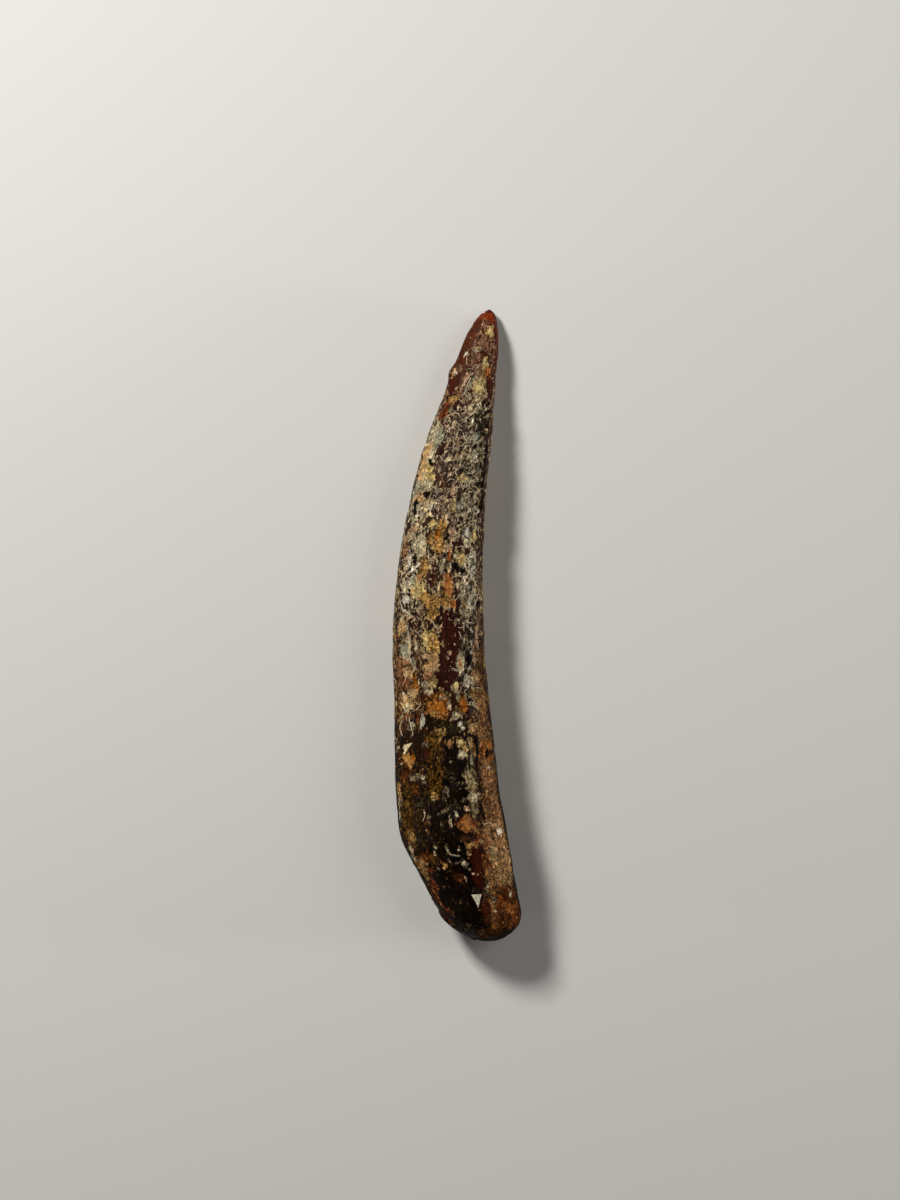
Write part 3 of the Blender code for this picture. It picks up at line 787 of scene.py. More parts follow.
# Paints for the strokes that no photograph shows, by where along the tooth they start
HIDDEN_PAINTS = (
    (0.0, ("tan", "ochre", "olive", "rust", "black", "black", "brown")),
    (18.0, ("ochre", "orange cream", "cream", "tan", "golden orange", "maroon", "enamel")),
    (30.0, ("cream", "grey green", "ochre", "pink", "orange cream", "plum", "mauve", "brown")),
    (46.0, ("veil", "cream", "tip red", "deep red", "orange")),
)


def eased(share):
    """A smooth step from 0 at 0 to 1 at 1."""
    share = np.clip(share, 0.0, 1.0)
    return share * share * (3.0 - 2.0 * share)


def linear(srgb):
    """A display colour from 0 to 255 as linear light from 0 to 1."""
    level = np.asarray(srgb, float) / 255.0
    return np.where(level <= 0.04045, level / 12.92, ((level + 0.055) / 1.055) ** 2.4)


def painted(srgb):
    """A paint's colour as linear light, a little warmer than written."""
    return linear(srgb) * np.array(PAINT_TONE)


def lattice_noise(places, size, seed):
    """Smooth noise from about -1 to 1 whose lumps have this size across, along and up."""
    grid = places / np.asarray(size)
    cell = np.floor(grid).astype(np.int64)
    inside = grid - cell
    fade = inside**3 * (inside * (inside * 6 - 15) + 10)
    total = np.zeros(len(places))
    for corner in np.ndindex(2, 2, 2):
        key = cell + corner
        mixed = key[:, 0] * 73856093 ^ key[:, 1] * 19349663 ^ key[:, 2] * 83492791 ^ seed * 2654435761
        mixed = (mixed ^ (mixed >> 13)) * 1274126177 & 0xFFFFFFFF
        turn = (mixed & 0xFFFF) / 65536.0 * 2 * math.pi
        rise = ((mixed >> 16) & 0xFFFF) / 32768.0 - 1.0
        flat = np.sqrt(np.maximum(1 - rise**2, 0))
        away = inside - corner
        slope = away[:, 0] * flat * np.cos(turn) + away[:, 1] * flat * np.sin(turn) + away[:, 2] * rise
        weight = np.ones(len(places))
        for axis in range(3):
            weight *= fade[:, axis] if corner[axis] else 1 - fade[:, axis]
        total += weight * slope
    return total * 1.6


def ranked(values):
    """The values spread evenly from 0 to 1, in the same order."""
    order = np.empty(len(values))
    order[np.argsort(values, kind="stable")] = np.linspace(0, 1, len(values))
    return order


def blurred(field, reach, axis, wraps):
    """The field averaged along one axis with a bell curve that is this many steps wide."""
    steps = np.arange(-int(3 * reach), int(3 * reach) + 1)
    weights = np.exp(-0.5 * (steps / reach) ** 2)
    weights /= weights.sum()
    padding = [(0, 0)] * field.ndim
    padding[axis] = (len(steps) // 2, len(steps) // 2)
    padded = np.pad(field, padding, mode="wrap" if wraps else "edge")
    result = np.zeros_like(field)
    for shift, weight in enumerate(weights):
        result += weight * np.take(padded, np.arange(shift, shift + field.shape[axis]), axis=axis)
    return result


class Spine:
    """The middle and half size of the tooth's section, anywhere along it."""

    def __init__(self, mesh, low, high):
        points = np.array([vertex.co for vertex in mesh.vertices]) / MM
        ends = points[np.array([edge.vertices[:] for edge in mesh.edges])]
        self.along = np.linspace(low[1] + TIP_CAP_REACH / 2, high[1] - TIP_CAP_REACH / 2, SPINE_STATIONS)
        boxes = np.array([self.section(ends, y) for y in self.along])
        boxes = blurred(boxes, SPINE_SMOOTHING, axis=0, wraps=False)
        self.middle_x, self.middle_z, self.half_x, self.half_z = boxes.T

    @staticmethod
    def section(ends, y):
        """The middle and half size of the cut through the tooth at this place."""
        start, finish = ends[:, 0], ends[:, 1]
        cut = (start[:, 1] - y) * (finish[:, 1] - y) < 0
        start, finish = start[cut], finish[cut]
        share = (y - start[:, 1]) / (finish[:, 1] - start[:, 1])
        crossing = start + share[:, None] * (finish - start)
        low, high = crossing.min(axis=0), crossing.max(axis=0)
        return (low[0] + high[0]) / 2, (low[2] + high[2]) / 2, (high[0] - low[0]) / 2, (high[2] - low[2]) / 2

    def at(self, y):
        """Middle x, middle z, half width and half thickness at these places."""
        columns = (self.middle_x, self.middle_z, self.half_x, self.half_z)
        return tuple(np.interp(y, self.along, column) for column in columns)


class Skin:
    """A grid of places round and along the tooth, on its surface, and what is painted on each."""

    def __init__(self, node, low, high):
        self.low, self.high = low, high
        self.spine = Spine(node.data, low, high)
        step = np.linspace(-math.pi, math.pi, ROUND_STEPS, endpoint=False)
        self.round_angle = step - TOP_CROWDING * np.sin(step)
        self.base = self.wrapped_grid(BVHTree.FromObject(node, bpy.context.evaluated_depsgraph_get()))
        places = self.base.reshape(-1, 3)
        self.angle = np.tile(self.round_angle, len(self.base))
        middle_x, middle_z, self.half_x, _ = self.spine.at(places[:, 1])
        self.along = places[:, 1] - low[1]
        self.straight = np.stack([places[:, 0] - middle_x, self.along, places[:, 2] - middle_z], axis=1)

    def wrapped_grid(self, tree):
        """Where rays from the spine meet the solid, smoothed so that its facets don't show."""
        start = self.low[1] + ROOT_CAP_REACH
        end = self.high[1] - TIP_CAP_REACH
        rings = []
        for step in range(ROOT_CAP_RINGS, 0, -1):
            rings.append((start, -math.pi / 2 * (step - 0.5) / ROOT_CAP_RINGS, ROOT_CAP_REACH))
        for y in np.linspace(start, end, BODY_RINGS):
            rings.append((y, 0.0, 0.0))
        for step in range(1, TIP_CAP_RINGS + 1):
            rings.append((end, math.pi / 2 * (step - 0.5) / TIP_CAP_RINGS, TIP_CAP_REACH))
        origins = np.zeros((len(rings), ROUND_STEPS, 3))
        directions = np.zeros_like(origins)
        for row, (y, lean, reach) in enumerate(rings):
            middle_x, middle_z, half_x, half_z = self.spine.at(y)
            origins[row] = (middle_x, y, middle_z)
            directions[row, :, 0] = half_x * np.sin(self.round_angle) * math.cos(lean)
            directions[row, :, 1] = reach * math.sin(lean)
            directions[row, :, 2] = half_z * np.cos(self.round_angle) * math.cos(lean)
        lengths = np.linalg.norm(directions, axis=2)
        reach = np.zeros(lengths.shape)
        for row, column in np.ndindex(lengths.shape):
            ray = Vector(directions[row, column])
            reach[row, column] = tree.ray_cast(Vector(origins[row, column]) * MM, ray)[3] / MM
        sharp = reach / lengths
        share = blurred(sharp, FACET_SMOOTHING[1], axis=1, wraps=True)
        share = blurred(share, FACET_SMOOTHING[0], axis=0, wraps=False)
        rings_to_tip = len(rings) - 1 - np.arange(len(rings))
        share += (sharp - share) * np.clip(1 - rings_to_tip / SHARP_TIP_RINGS, 0, 1)[:, None]
        return origins + directions * share[:, :, None]

    def start_painting(self):
        """The colours and cover before any stroke."""
        along = np.array([zone[0] for zone in ZONES])
        tooth = painted([zone[1] for zone in ZONES])
        sediment = painted([zone[2] for zone in ZONES])
        cover = np.array([zone[3] for zone in ZONES])
        self.tooth_colour = np.stack([np.interp(self.along, along, tooth[:, i]) for i in range(3)], axis=1)
        self.crust_colour = np.stack([np.interp(self.along, along, sediment[:, i]) for i in range(3)], axis=1)
        self.cover = np.interp(self.along, along, cover) + 0.16 * self.noise((0.9, 1.8, 0.9), 3)
        self.grit = np.full(len(self.along), 0.4)
        self.rise = np.zeros(len(self.along))
        threads = 0.5 - np.abs(self.noise((0.42, 0.7, 0.42), 14)) * 2.0
        fine = 0.8 * self.noise((0.23, 0.40, 0.23), 11) + 0.8 * threads
        self.pattern = ranked(fine + 0.35 * self.noise((0.6, 1.1, 0.6), 13))
        self.rags = [self.noise((0.3, 0.5, 0.3), 21) + 0.9 * self.noise((0.15, 0.24, 0.15), 22)]
        self.rags.append(self.noise((0.38, 0.42, 0.38), 23) + 0.9 * self.noise((0.16, 0.22, 0.16), 24))
        self.order = np.argsort(self.along, kind="stable")
        self.sorted_along = self.along[self.order]

    def noise(self, size, seed):
        return lattice_noise(self.straight, size, seed)

    def angle_over(self, across, along):
        """The angle round the section of a place seen from above."""
        middle_x, _, half_x, _ = self.spine.at(along + self.low[1])
        return math.asin(float(np.clip((across - middle_x) / half_x, -0.985, 0.985)))

    def stroke(self, paint, angle, along, half_width, half_length, turn=0.0, number=0):
        """Paints one ragged oval."""
        _, _, half_x, _ = self.spine.at(along + self.low[1])
        reach = STROKE_REACH * max(half_width, half_length)
        first, last = np.searchsorted(self.sorted_along, (along - reach, along + reach))
        near = self.order[first:last]
        round_gap = np.remainder(self.angle[near] - angle + math.pi, 2 * math.pi) - math.pi
        steepness = max(math.cos(angle), STEEPEST_SIDE) if math.cos(angle) > 0 else 1.0
        sideways = round_gap * half_x * steepness
        lengthways = self.along[near] - along
        lean = math.radians(turn)
        u = lengthways * math.cos(lean) + sideways * math.sin(lean)
        v = sideways * math.cos(lean) - lengthways * math.sin(lean)
        distance = np.hypot(u / half_length, v / half_width)
        inside = distance < STROKE_REACH
        near = near[inside]
        raggedness = min(STROKE_RAG[0] + STROKE_RAG[1] * paint.grit, MOST_RAG)
        rag = raggedness * self.rags[number % 2][near] * (1 if number % 4 < 2 else -1)
        distance = distance[inside] + rag
        cover = eased((COVER_EDGE[0] - distance) / COVER_EDGE[1])
        colour = eased((COLOUR_EDGE[0] - distance) / COLOUR_EDGE[1])
        target = self.crust_colour if paint.is_crust else self.tooth_colour
        tint = painted(paint.srgb)
        amount = colour if paint.is_crust else cover
        target[near] += amount[:, None] * (tint - target[near])
        # under a raised crust the tooth between the grains takes painted shade, a dim copy of the crust's colour
        if paint.is_crust and paint.rise > FILM_RISE:
            gap_shade = GAP_SHADE_SHARE * min(paint.cover, 1.0) * cover[:, None]
            self.tooth_colour[near] += gap_shade * (CRUST_SHADE * tint - self.tooth_colour[near])
        self.cover[near] += cover * (paint.cover - self.cover[near])
        self.grit[near] += cover * (paint.grit - self.grit[near])
        self.rise[near] += cover * (paint.rise - self.rise[near])

    def paint_everything(self):
        """All the strokes seen from above, the rings, and then the strokes of the hidden side."""
        random = np.random.default_rng(5)
        for number in range(HIDDEN_STROKES):
            along = random.uniform(0.5, self.high[1] - self.low[1] - 0.8)
            names = [names for start, names in HIDDEN_PAINTS if along >= start][-1]
            name = names[random.integers(len(names))]
            angle = random.uniform(math.radians(98), math.radians(262))
            half_width = random.uniform(0.25, 0.8)
            half_length = half_width * random.uniform(0.9, 2.4)
            self.stroke(PAINTS[name], angle, along, half_width, half_length, random.uniform(-15, 15), number)
        for number, (name, across, along, half_width, half_length, *turn) in enumerate(ALL_STROKES):
            angle = self.angle_over(across, along)
            self.stroke(PAINTS[name], angle, along, half_width, half_length, *turn, number=number)
        for across, along, half_width, half_length in RINGS:
            angle = self.angle_over(across, along)
            self.stroke(PAINTS["white"], angle, along, half_width, half_length)
            inner_width, inner_length = half_width * RING_MIDDLE, half_length * RING_MIDDLE
            self.stroke(PAINTS["green black"], angle, along, inner_width, inner_length)
            self.stroke(PAINTS["grey green"], angle, along, inner_width * 0.5, inner_length * 0.6)

    def crust_mask(self):
        """Where the sediment lies, from 0 to 1."""
        return eased((self.pattern + self.cover - 0.9) / 0.2)

    def finished_places(self):
        """The base grid with the relief of the sediment and of the tooth's own surface."""
        mask = self.crust_mask()
        height = mask * (FLECK_RISE + self.rise) + (1 - mask) * np.minimum(self.rise, 0)
        grit = self.noise((0.2, 0.24, 0.2), 31) + 0.6 * self.noise((0.1, 0.12, 0.1), 32)
        height += GRIT_RISE * self.grit * mask * grit
        height += LUMP_RISE * (0.35 + 0.65 * mask) * self.noise((0.8, 1.1, 0.8), 33)
        height += STRIATION_RISE * self.noise((0.16, 2.2, 0.16), 34)
        base = self.base
        lengthwise = np.gradient(base, axis=0)
        roundwise = np.roll(base, -1, axis=1) - np.roll(base, 1, axis=1)
        normal = np.cross(lengthwise, roundwise)
        area = np.linalg.norm(normal, axis=2)
        normal /= area[:, :, None]
        finished = base + normal * height.reshape(base.shape[:2])[:, :, None]
        finished[:, :, 2] = np.maximum(finished[:, :, 2], 0.0)
        self.finished, self.normal, self.area, self.mask = finished, normal, area.ravel(), mask
        return finished

    def surface_at(self, angle, along):
        """Places on the finished surface and their normals, for angles round the body of the tooth."""
        start, end = self.low[1] + ROOT_CAP_REACH, self.high[1] - TIP_CAP_REACH
        share = (np.asarray(along) + self.low[1] - start) / (end - start)
        row = ROOT_CAP_RINGS + np.clip(share, 0, 1) * (BODY_RINGS - 1)
        turns = np.append(self.round_angle, self.round_angle[0] + 2 * math.pi)
        wrapped = np.remainder(np.asarray(angle) - turns[0], 2 * math.pi) + turns[0]
        column = np.interp(wrapped, turns, np.arange(ROUND_STEPS + 1))
        low_row, low_column = np.floor(row).astype(int), np.floor(column).astype(int)
        row_share, column_share = (row - low_row)[:, None], (column - low_column)[:, None]
        results = []
        for field in (self.finished, self.normal):
            rows = [field[low_row + step] for step in (0, 1)]
            cells = [[r[np.arange(len(r)), (low_column + side) % ROUND_STEPS] for side in (0, 1)] for r in rows]
            mixed = [a + (b - a) * column_share for a, b in cells]
            results.append(mixed[0] + (mixed[1] - mixed[0]) * row_share)
        return results

    def with_poles(self, field):
        """A field over the grid, with its mean over the first and the last ring for the two poles."""
        first, last = field[:ROUND_STEPS].mean(axis=0), field[-ROUND_STEPS:].mean(axis=0)
        return np.concatenate([field, [first], [last]])

    def make_object(self):
        """The skin as a mesh object with its attributes and its unwrapping."""
        finished = self.finished_places()
        rings = len(finished)
        points = self.with_poles(finished.reshape(-1, 3)) * MM
        root_pole, tip_pole = rings * ROUND_STEPS, rings * ROUND_STEPS + 1
        faces, corners = [], []
        levels = np.linspace(0, 1, rings + 2)
        for column in range(ROUND_STEPS):
            after = (column + 1) % ROUND_STEPS
            left, right = column / ROUND_STEPS, (column + 1) / ROUND_STEPS
            faces.append((root_pole, column, after))
            corners += [((left + right) / 2, 0.0), (left, levels[1]), (right, levels[1])]
            last = (rings - 1) * ROUND_STEPS
            faces.append((tip_pole, last + after, last + column))
            corners += [((left + right) / 2, 1.0), (right, levels[-2]), (left, levels[-2])]
            for ring in range(rings - 1):
                below, above = ring * ROUND_STEPS, (ring + 1) * ROUND_STEPS
                faces.append((below + column, above + column, above + after, below + after))
                low, high = levels[ring + 1], levels[ring + 2]
                corners += [(left, low), (left, high), (right, high), (right, low)]
        mesh = bpy.data.meshes.new("tooth_surface")
        mesh.from_pydata(points.tolist(), [], faces)
        mesh.uv_layers.new(name="OFBake").data.foreach_set("uv", np.array(corners, float).ravel())
        self.add_colour(mesh, "tooth_colour", self.tooth_colour)
        self.add_colour(mesh, "crust_colour", self.crust_colour)
        for name in ("cover", "pattern", "grit"):
            values = self.with_poles(getattr(self, name)[:, None])
            mesh.attributes.new(name, "FLOAT", "POINT").data.foreach_set("value", values.ravel())
        straight = self.with_poles(self.straight)
        mesh.attributes.new("straight", "FLOAT_VECTOR", "POINT").data.foreach_set("vector", straight.ravel())
        mesh.shade_smooth()
        skin = bpy.data.objects.new("tooth_surface", mesh)
        bpy.context.scene.collection.objects.link(skin)
        return skin

    def add_colour(self, mesh, name, colour):
        add_point_colour(mesh, name, self.with_poles(colour))


def add_point_colour(mesh, name, colour):
    colour = np.concatenate([colour, np.ones((len(colour), 1))], axis=1)
    mesh.color_attributes.new(name, "FLOAT_COLOR", "POINT").data.foreach_set("color", colour.ravel())


def mesh_object(name, points, faces, uvs, colours):
    """A smooth mesh object from points in millimetres, with a colour for each point."""
    mesh = bpy.data.meshes.new(name)
    mesh.from_pydata((points * MM).tolist(), [], faces)
    corners = np.concatenate([uvs[list(face)] for face in faces])
    mesh.uv_layers.new(name="OFBake").data.foreach_set("uv", corners.ravel())
    add_point_colour(mesh, "piece_colour", colours)
    mesh.shade_smooth()
    piece = bpy.data.objects.new(name, mesh)
    bpy.context.scene.collection.objects.link(piece)
    return piece


def smooth_path(corners, step):
    """Places at about this spacing on a curve through the corners."""
    corners = np.asarray(corners, float)
    before = np.concatenate([[2 * corners[0] - corners[1]], corners, [2 * corners[-1] - corners[-2]]])
    path = []
    for i in range(1, len(before) - 2):
        a, b, c, d = before[i - 1 : i + 3]
        count = max(2, int(np.linalg.norm(c - b) / step))
        t = np.linspace(0, 1, count, endpoint=False)[:, None]
        path.append(0.5 * (2 * b + (c - a) * t + (2 * a - 5 * b + 4 * c - d) * t**2 + (3 * b - a - 3 * c + d) * t**3))
    return np.concatenate([*path, corners[-1:]])


def thread_paths(skin):
    """Every thread as (radius, colour, angles, alongs): the listed ones, the rings and the curls."""
    random = np.random.default_rng(11)
    paths = []
    for radius, corners in THREADS:
        paths.append((radius, smooth_path(corners, THREAD_STEP)))
    for across, along, half_width, half_length in RINGS:
        turn = np.linspace(0, 2 * math.pi, 10) + random.uniform(0, 6)
        wobble = 1 + random.uniform(-0.12, 0.12, 10)
        wobble[-1] = wobble[0]
        loop = np.stack([across + half_width * wobble * np.sin(turn), along + half_length * wobble * np.cos(turn)], axis=1)
        paths.append((0.06, smooth_path(loop, THREAD_STEP)))
    by_hand = len(paths)
    for least, most, start, end, count in CURL_AREAS:
        for _ in range(count):
            place = np.array([random.uniform(least, most), random.uniform(start, end)])
            heading = random.normal(0, 0.55)
            bend = random.normal(0, 0.55)
            corners = [place]
            for _ in range(random.integers(2, 5)):
                heading += bend + random.normal(0, 0.35)
                place = place + random.uniform(0.14, 0.3) * np.array([math.sin(heading), math.cos(heading)])
                corners.append(place)
            paths.append((random.uniform(0.03, 0.05), smooth_path(corners, THREAD_STEP)))
    placed = []
    for number, (radius, path) in enumerate(paths):
        angles = np.array([skin.angle_over(across, along) for across, along in path])
        shade = HAND_THREAD_SHADE if number < by_hand else random.uniform(0.45, 1.35)
        if number < by_hand or np.abs(np.sin(angles)).max() < CURL_LIMIT:
            placed.append((radius, shade, angles, path[:, 1]))
    for _ in range(HIDDEN_CURLS):
        along = random.uniform(16, 50)
        angle = random.uniform(math.radians(75), math.radians(285))
        turn = np.linspace(0, random.uniform(2, 5), 9)
        angles = angle + random.uniform(0.06, 0.14) * np.sin(turn)
        placed.append((random.uniform(0.03, 0.055), random.uniform(0.75, 1.2), angles, along + 0.35 * turn / 2))
    return placed


def pale_threads(skin):
    """Thin pale threads of mineral that lie on the tooth, as one mesh of tubes with pointed ends."""
    points, faces, uvs, colours = [], [], [], []
    turn = np.linspace(0, 2 * math.pi, THREAD_SIDES, endpoint=False)
    paths = thread_paths(skin)
    total = 0
    for number, (radius, shade, angles, alongs) in enumerate(paths):
        if alongs.min() < ROOT_CAP_REACH or alongs.max() > skin.high[1] - skin.low[1] - TIP_CAP_REACH:
            continue
        centre, normal = skin.surface_at(angles, alongs)
        count = len(centre)
        forward = np.gradient(centre, axis=0)
        sideways = np.cross(forward, normal)
        sideways /= np.linalg.norm(sideways, axis=1)[:, None]
        thin = radius * np.sin(np.linspace(0.15, math.pi - 0.15, count))[:, None, None] ** 0.4
        circle = np.cos(turn)[None, :, None] * normal[:, None] + np.sin(turn)[None, :, None] * sideways[:, None]
        tube = centre[:, None] + 0.2 * radius * normal[:, None] + thin * circle
        tube[:, :, 2] = np.maximum(tube[:, :, 2], 0.0)
        points.append(tube.reshape(-1, 3))
        for ring in range(count - 1):
            for side in range(THREAD_SIDES):
                a, b = total + ring * THREAD_SIDES + side, total + ring * THREAD_SIDES + (side + 1) % THREAD_SIDES
                faces.append((a, b, b + THREAD_SIDES, a + THREAD_SIDES))
        faces.append(tuple(total + side for side in reversed(range(THREAD_SIDES))))
        faces.append(tuple(total + (count - 1) * THREAD_SIDES + side for side in range(THREAD_SIDES)))
        rows = (number + np.tile(turn / (2 * math.pi), count) * 0.9) / len(paths)
        uvs.append(np.stack([np.repeat(np.linspace(0, 1, count), THREAD_SIDES), rows], axis=1))
        colours.append(np.tile(painted(THREAD_SRGB) * shade, (count * THREAD_SIDES, 1)))
        total += count * THREAD_SIDES
    return mesh_object("pale_threads", np.concatenate(points), faces, np.concatenate(uvs), np.concatenate(colours))


def sand_grains(skin):
    """Rounded sand grains, half sunk in the sediment, as one mesh."""
    random = np.random.default_rng(7)
    shape = bmesh.new()
    bmesh.ops.create_icosphere(shape, subdivisions=2, radius=1.0)
    ball = np.array([vertex.co for vertex in shape.verts])
    ball_faces = [[vertex.index for vertex in face.verts] for face in shape.faces]
    shape.free()
    place, normal = skin.finished.reshape(-1, 3), skin.normal.reshape(-1, 3)
    weight = skin.area * (0.08 + skin.mask * (0.2 + skin.grit)) * (place[:, 2] > 0.3)
    chosen = random.choice(len(place), GRAIN_COUNT, replace=False, p=weight / weight.sum())
    points, colours = [], []
    for index in chosen:
        radius = random.uniform(*GRAIN_RADII)
        frame_of_grain = np.linalg.qr(random.normal(size=(3, 3)))[0]
        size = radius * np.array([1.0, random.uniform(0.7, 1.0), random.uniform(0.55, 0.9)])
        lumps = ball * (1 + 0.12 * random.normal(size=(len(ball), 1)))
        points.append(place[index] + GRAIN_SINK * radius * normal[index] + (lumps * size) @ frame_of_grain)
        tint = GRAIN_TINTS[random.choice(len(GRAIN_TINTS), p=GRAIN_ODDS)]
        colour = skin.crust_colour[index] if tint is None else painted(tint)
        colours.append(np.tile(colour * random.uniform(0.65, 1.2), (len(ball), 1)))
    for paint, across, along, half_width, half_length in PEBBLES:
        middle, up = (field[0] for field in skin.surface_at([skin.angle_over(across, along)], [along]))
        if abs(middle[0] - across) < PEBBLE_SHIFT:
            middle[0] = across
        up = up / np.linalg.norm(up)
        sideways = np.cross((0.0, 1.0, 0.0), up)
        sideways /= np.linalg.norm(sideways)
        size = (half_width, half_length, PEBBLE_THICKNESS * min(half_width, half_length))
        lumps = ball * (1 + 0.05 * random.normal(size=(len(ball), 1)))
        points.append(middle + (lumps * size) @ np.stack([sideways, np.cross(up, sideways), up]))
        colours.append(np.tile(painted(PAINTS[paint].srgb), (len(ball), 1)))
    faces, uvs = [], []
    cells = math.ceil(math.sqrt(len(points)))
    for number in range(len(points)):
        faces += [tuple(vertex + number * len(ball) for vertex in face) for face in ball_faces]
        corner = np.array([number % cells, number // cells]) + 0.5
        uvs.append((corner + 0.45 * ball[:, :2]) / cells)
    points = np.concatenate(points)
    points[:, 2] = np.maximum(points[:, 2], 0.0)
    return mesh_object("sand_grains", points, faces, np.concatenate(uvs), np.concatenate(colours))


def mineral_flakes(skin):
    """Pale angular flakes that stand on the sediment, each a thin plate with a lifted edge."""
    points, faces, uvs, colours = [], [], [], []
    for number, (srgb, thickness, corners) in enumerate(FLAKES):
        first = sum(len(part) for part in points)
        across, along, lift = np.array(corners).T
        angles = np.array([skin.angle_over(*place) for place in zip(across, along)])
        surface, normal = skin.surface_at(angles, along)
        normal = np.tile(normal.mean(axis=0), (len(surface), 1))
        middle = surface.mean(axis=0)
        top = surface + normal * (lift + thickness)[:, None]
        crown = (top.mean(axis=0) + normal[0] * thickness * 0.5)[None]
        shoulder = top + (middle - surface) * 0.12 + normal * 0.03
        foot = surface - normal * 0.15
        points.append(np.concatenate([foot, top, shoulder, crown]))
        count = len(corners)
        for side in range(count):
            after = (side + 1) % count
            for level in (0, count):
                low, high = first + level, first + level + count
                faces.append((low + side, low + after, high + after, high + side))
            faces.append((first + 2 * count + side, first + 2 * count + after, first + 3 * count))
        faces.append(tuple(first + side for side in reversed(range(count))))
        flat = (np.stack([across - across.min(), along - along.min()], axis=1)) / 4 + number / 4 * np.array([1, 0])
        uvs.append(np.concatenate([flat, flat, flat, flat.mean(axis=0)[None]]))
        colours.append(np.tile(painted(srgb), (3 * count + 1, 1)))
    flakes = mesh_object("mineral_flakes", np.concatenate(points), faces, np.concatenate(uvs), np.concatenate(colours))
    flakes.data.shade_flat()
    return flakes


class Nodes:
    """Short calls that add and link a material's nodes."""

    def __init__(self, name):
        self.material = bpy.data.materials.new(name)
        self.material.use_nodes = True
        self.tree = self.material.node_tree
        self.shader = self.tree.nodes["Principled BSDF"]

    def put(self, value, socket):
        if isinstance(value, bpy.types.NodeSocket):
            self.tree.links.new(value, socket)
        else:
            socket.default_value = value

    def attribute(self, name, output="Fac"):
        node = self.tree.nodes.new("ShaderNodeAttribute")
        node.attribute_name = name
        return node.outputs[output]

    def coordinates(self):
        """The place on the piece in metres, the same at every pose."""
        return self.tree.nodes.new("ShaderNodeTexCoord").outputs["Object"]

    def math(self, operation, first, second=0.0, third=0.0):
        node = self.tree.nodes.new("ShaderNodeMath")
        node.operation = operation
        for value, socket in zip((first, second, third), node.inputs):
            self.put(value, socket)
        return node.outputs[0]

    def ramp(self, value, low, high, to_low=0.0, to_high=1.0):
        """Maps low..high to to_low..to_high with soft ends."""
        node = self.tree.nodes.new("ShaderNodeMapRange")
        node.interpolation_type = "SMOOTHSTEP"
        for setting, socket in zip((value, low, high, to_low, to_high), node.inputs):
            self.put(setting, socket)
        return node.outputs[0]

    def scaled(self, vector, factors):
        node = self.tree.nodes.new("ShaderNodeVectorMath")
        node.operation = "MULTIPLY"
        self.put(vector, node.inputs[0])
        self.put(factors, node.inputs[1])
        return node.outputs[0]

    def noise(self, vector, factors, detail=2.0, roughness=0.55):
        node = self.tree.nodes.new("ShaderNodeTexNoise")
        self.put(self.scaled(vector, factors), node.inputs["Vector"])
        node.inputs["Scale"].default_value = 1.0
        node.inputs["Detail"].default_value = detail
        node.inputs["Roughness"].default_value = roughness
        return node.outputs["Fac"]

    def cells(self, vector, factors):
        """Packed grains: one value for each, and how far a place is from the gap round its grain."""
        place = self.scaled(vector, factors)
        grains = self.tree.nodes.new("ShaderNodeTexVoronoi")
        gaps = self.tree.nodes.new("ShaderNodeTexVoronoi")
        gaps.feature = "DISTANCE_TO_EDGE"
        for node in (grains, gaps):
            self.put(place, node.inputs["Vector"])
            node.inputs["Scale"].default_value = 1.0
        channels = self.tree.nodes.new("ShaderNodeSeparateColor")
        self.put(grains.outputs["Color"], channels.inputs[0])
        return channels.outputs[0], gaps.outputs["Distance"]

    def mix(self, amount, first, second, blend="MIX"):
        node = self.tree.nodes.new("ShaderNodeMix")
        node.data_type = "RGBA"
        node.blend_type = blend
        for value, socket in zip((amount, first, second), (node.inputs[0], node.inputs[6], node.inputs[7])):
            self.put(value, socket)
        return node.outputs[2]

    def brightened(self, colour, factor):
        """The colour with every channel multiplied by the factor."""
        node = self.tree.nodes.new("ShaderNodeVectorMath")
        node.operation = "SCALE"
        self.put(colour, node.inputs[0])
        self.put(factor, node.inputs["Scale"])
        return node.outputs[0]

    def bump(self, height_in_mm):
        node = self.tree.nodes.new("ShaderNodeBump")
        node.inputs["Distance"].default_value = MM
        self.put(height_in_mm, node.inputs["Height"])
        self.put(node.outputs[0], self.shader.inputs["Normal"])


# The material's patterns: how many lumps a millimetre has across, along and up, then how much finer
# detail each has and how rough it is
FRAY = ((5.2, 3.6, 5.2), 2.5, 0.6)
GRAIN = ((3.6, 2.4, 3.6), 3.0, 0.65)
WARMTH = ((1.7, 1.1, 1.7), 3.0, 0.6)
BLOTCH = ((1.3, 0.8, 1.3), 2.0, 0.55)
STREAK = ((4.5, 0.5, 4.5), 3.0, 0.6)
SPECK = ((6.0, 4.0, 6.0), 1.0, 0.5)
CREASE = ((1.8, 1.3, 1.8), 2.5, 0.6)
THREAD = ((1.5, 1.05, 1.5), 2.5, 0.62)
CELLS = (3.3, 2.4, 3.3)

FRAY_SHARE = 1.5
MASK_LEVELS = (1.66, 1.84)  # below the first the tooth is bare, above the second it is all sediment
RIM_LEVELS = (1.80, 1.98)
SHADOW_LEVELS = (1.36, 1.66)
WARM_SHIFT = (0.94, 0.81, 0.66)
PALE_SHIFT = (1.14, 1.17, 1.22)
THREAD_SHIFT = (0.92, 0.92, 0.94)
RIM_SHIFT = (1.25, 1.28, 1.32)


def thin_lines(nodes, field, half_width, soft):
    """1 along the curling lines where the field is at its middle value, 0 elsewhere."""
    away = nodes.math("ABSOLUTE", nodes.math("SUBTRACT", field, 0.5))
    return nodes.ramp(away, half_width, half_width + soft, 1.0, 0.0)


def product(nodes, *factors):
    result = factors[0]
    for factor in factors[1:]:
        result = nodes.math("MULTIPLY", result, factor)
    return result


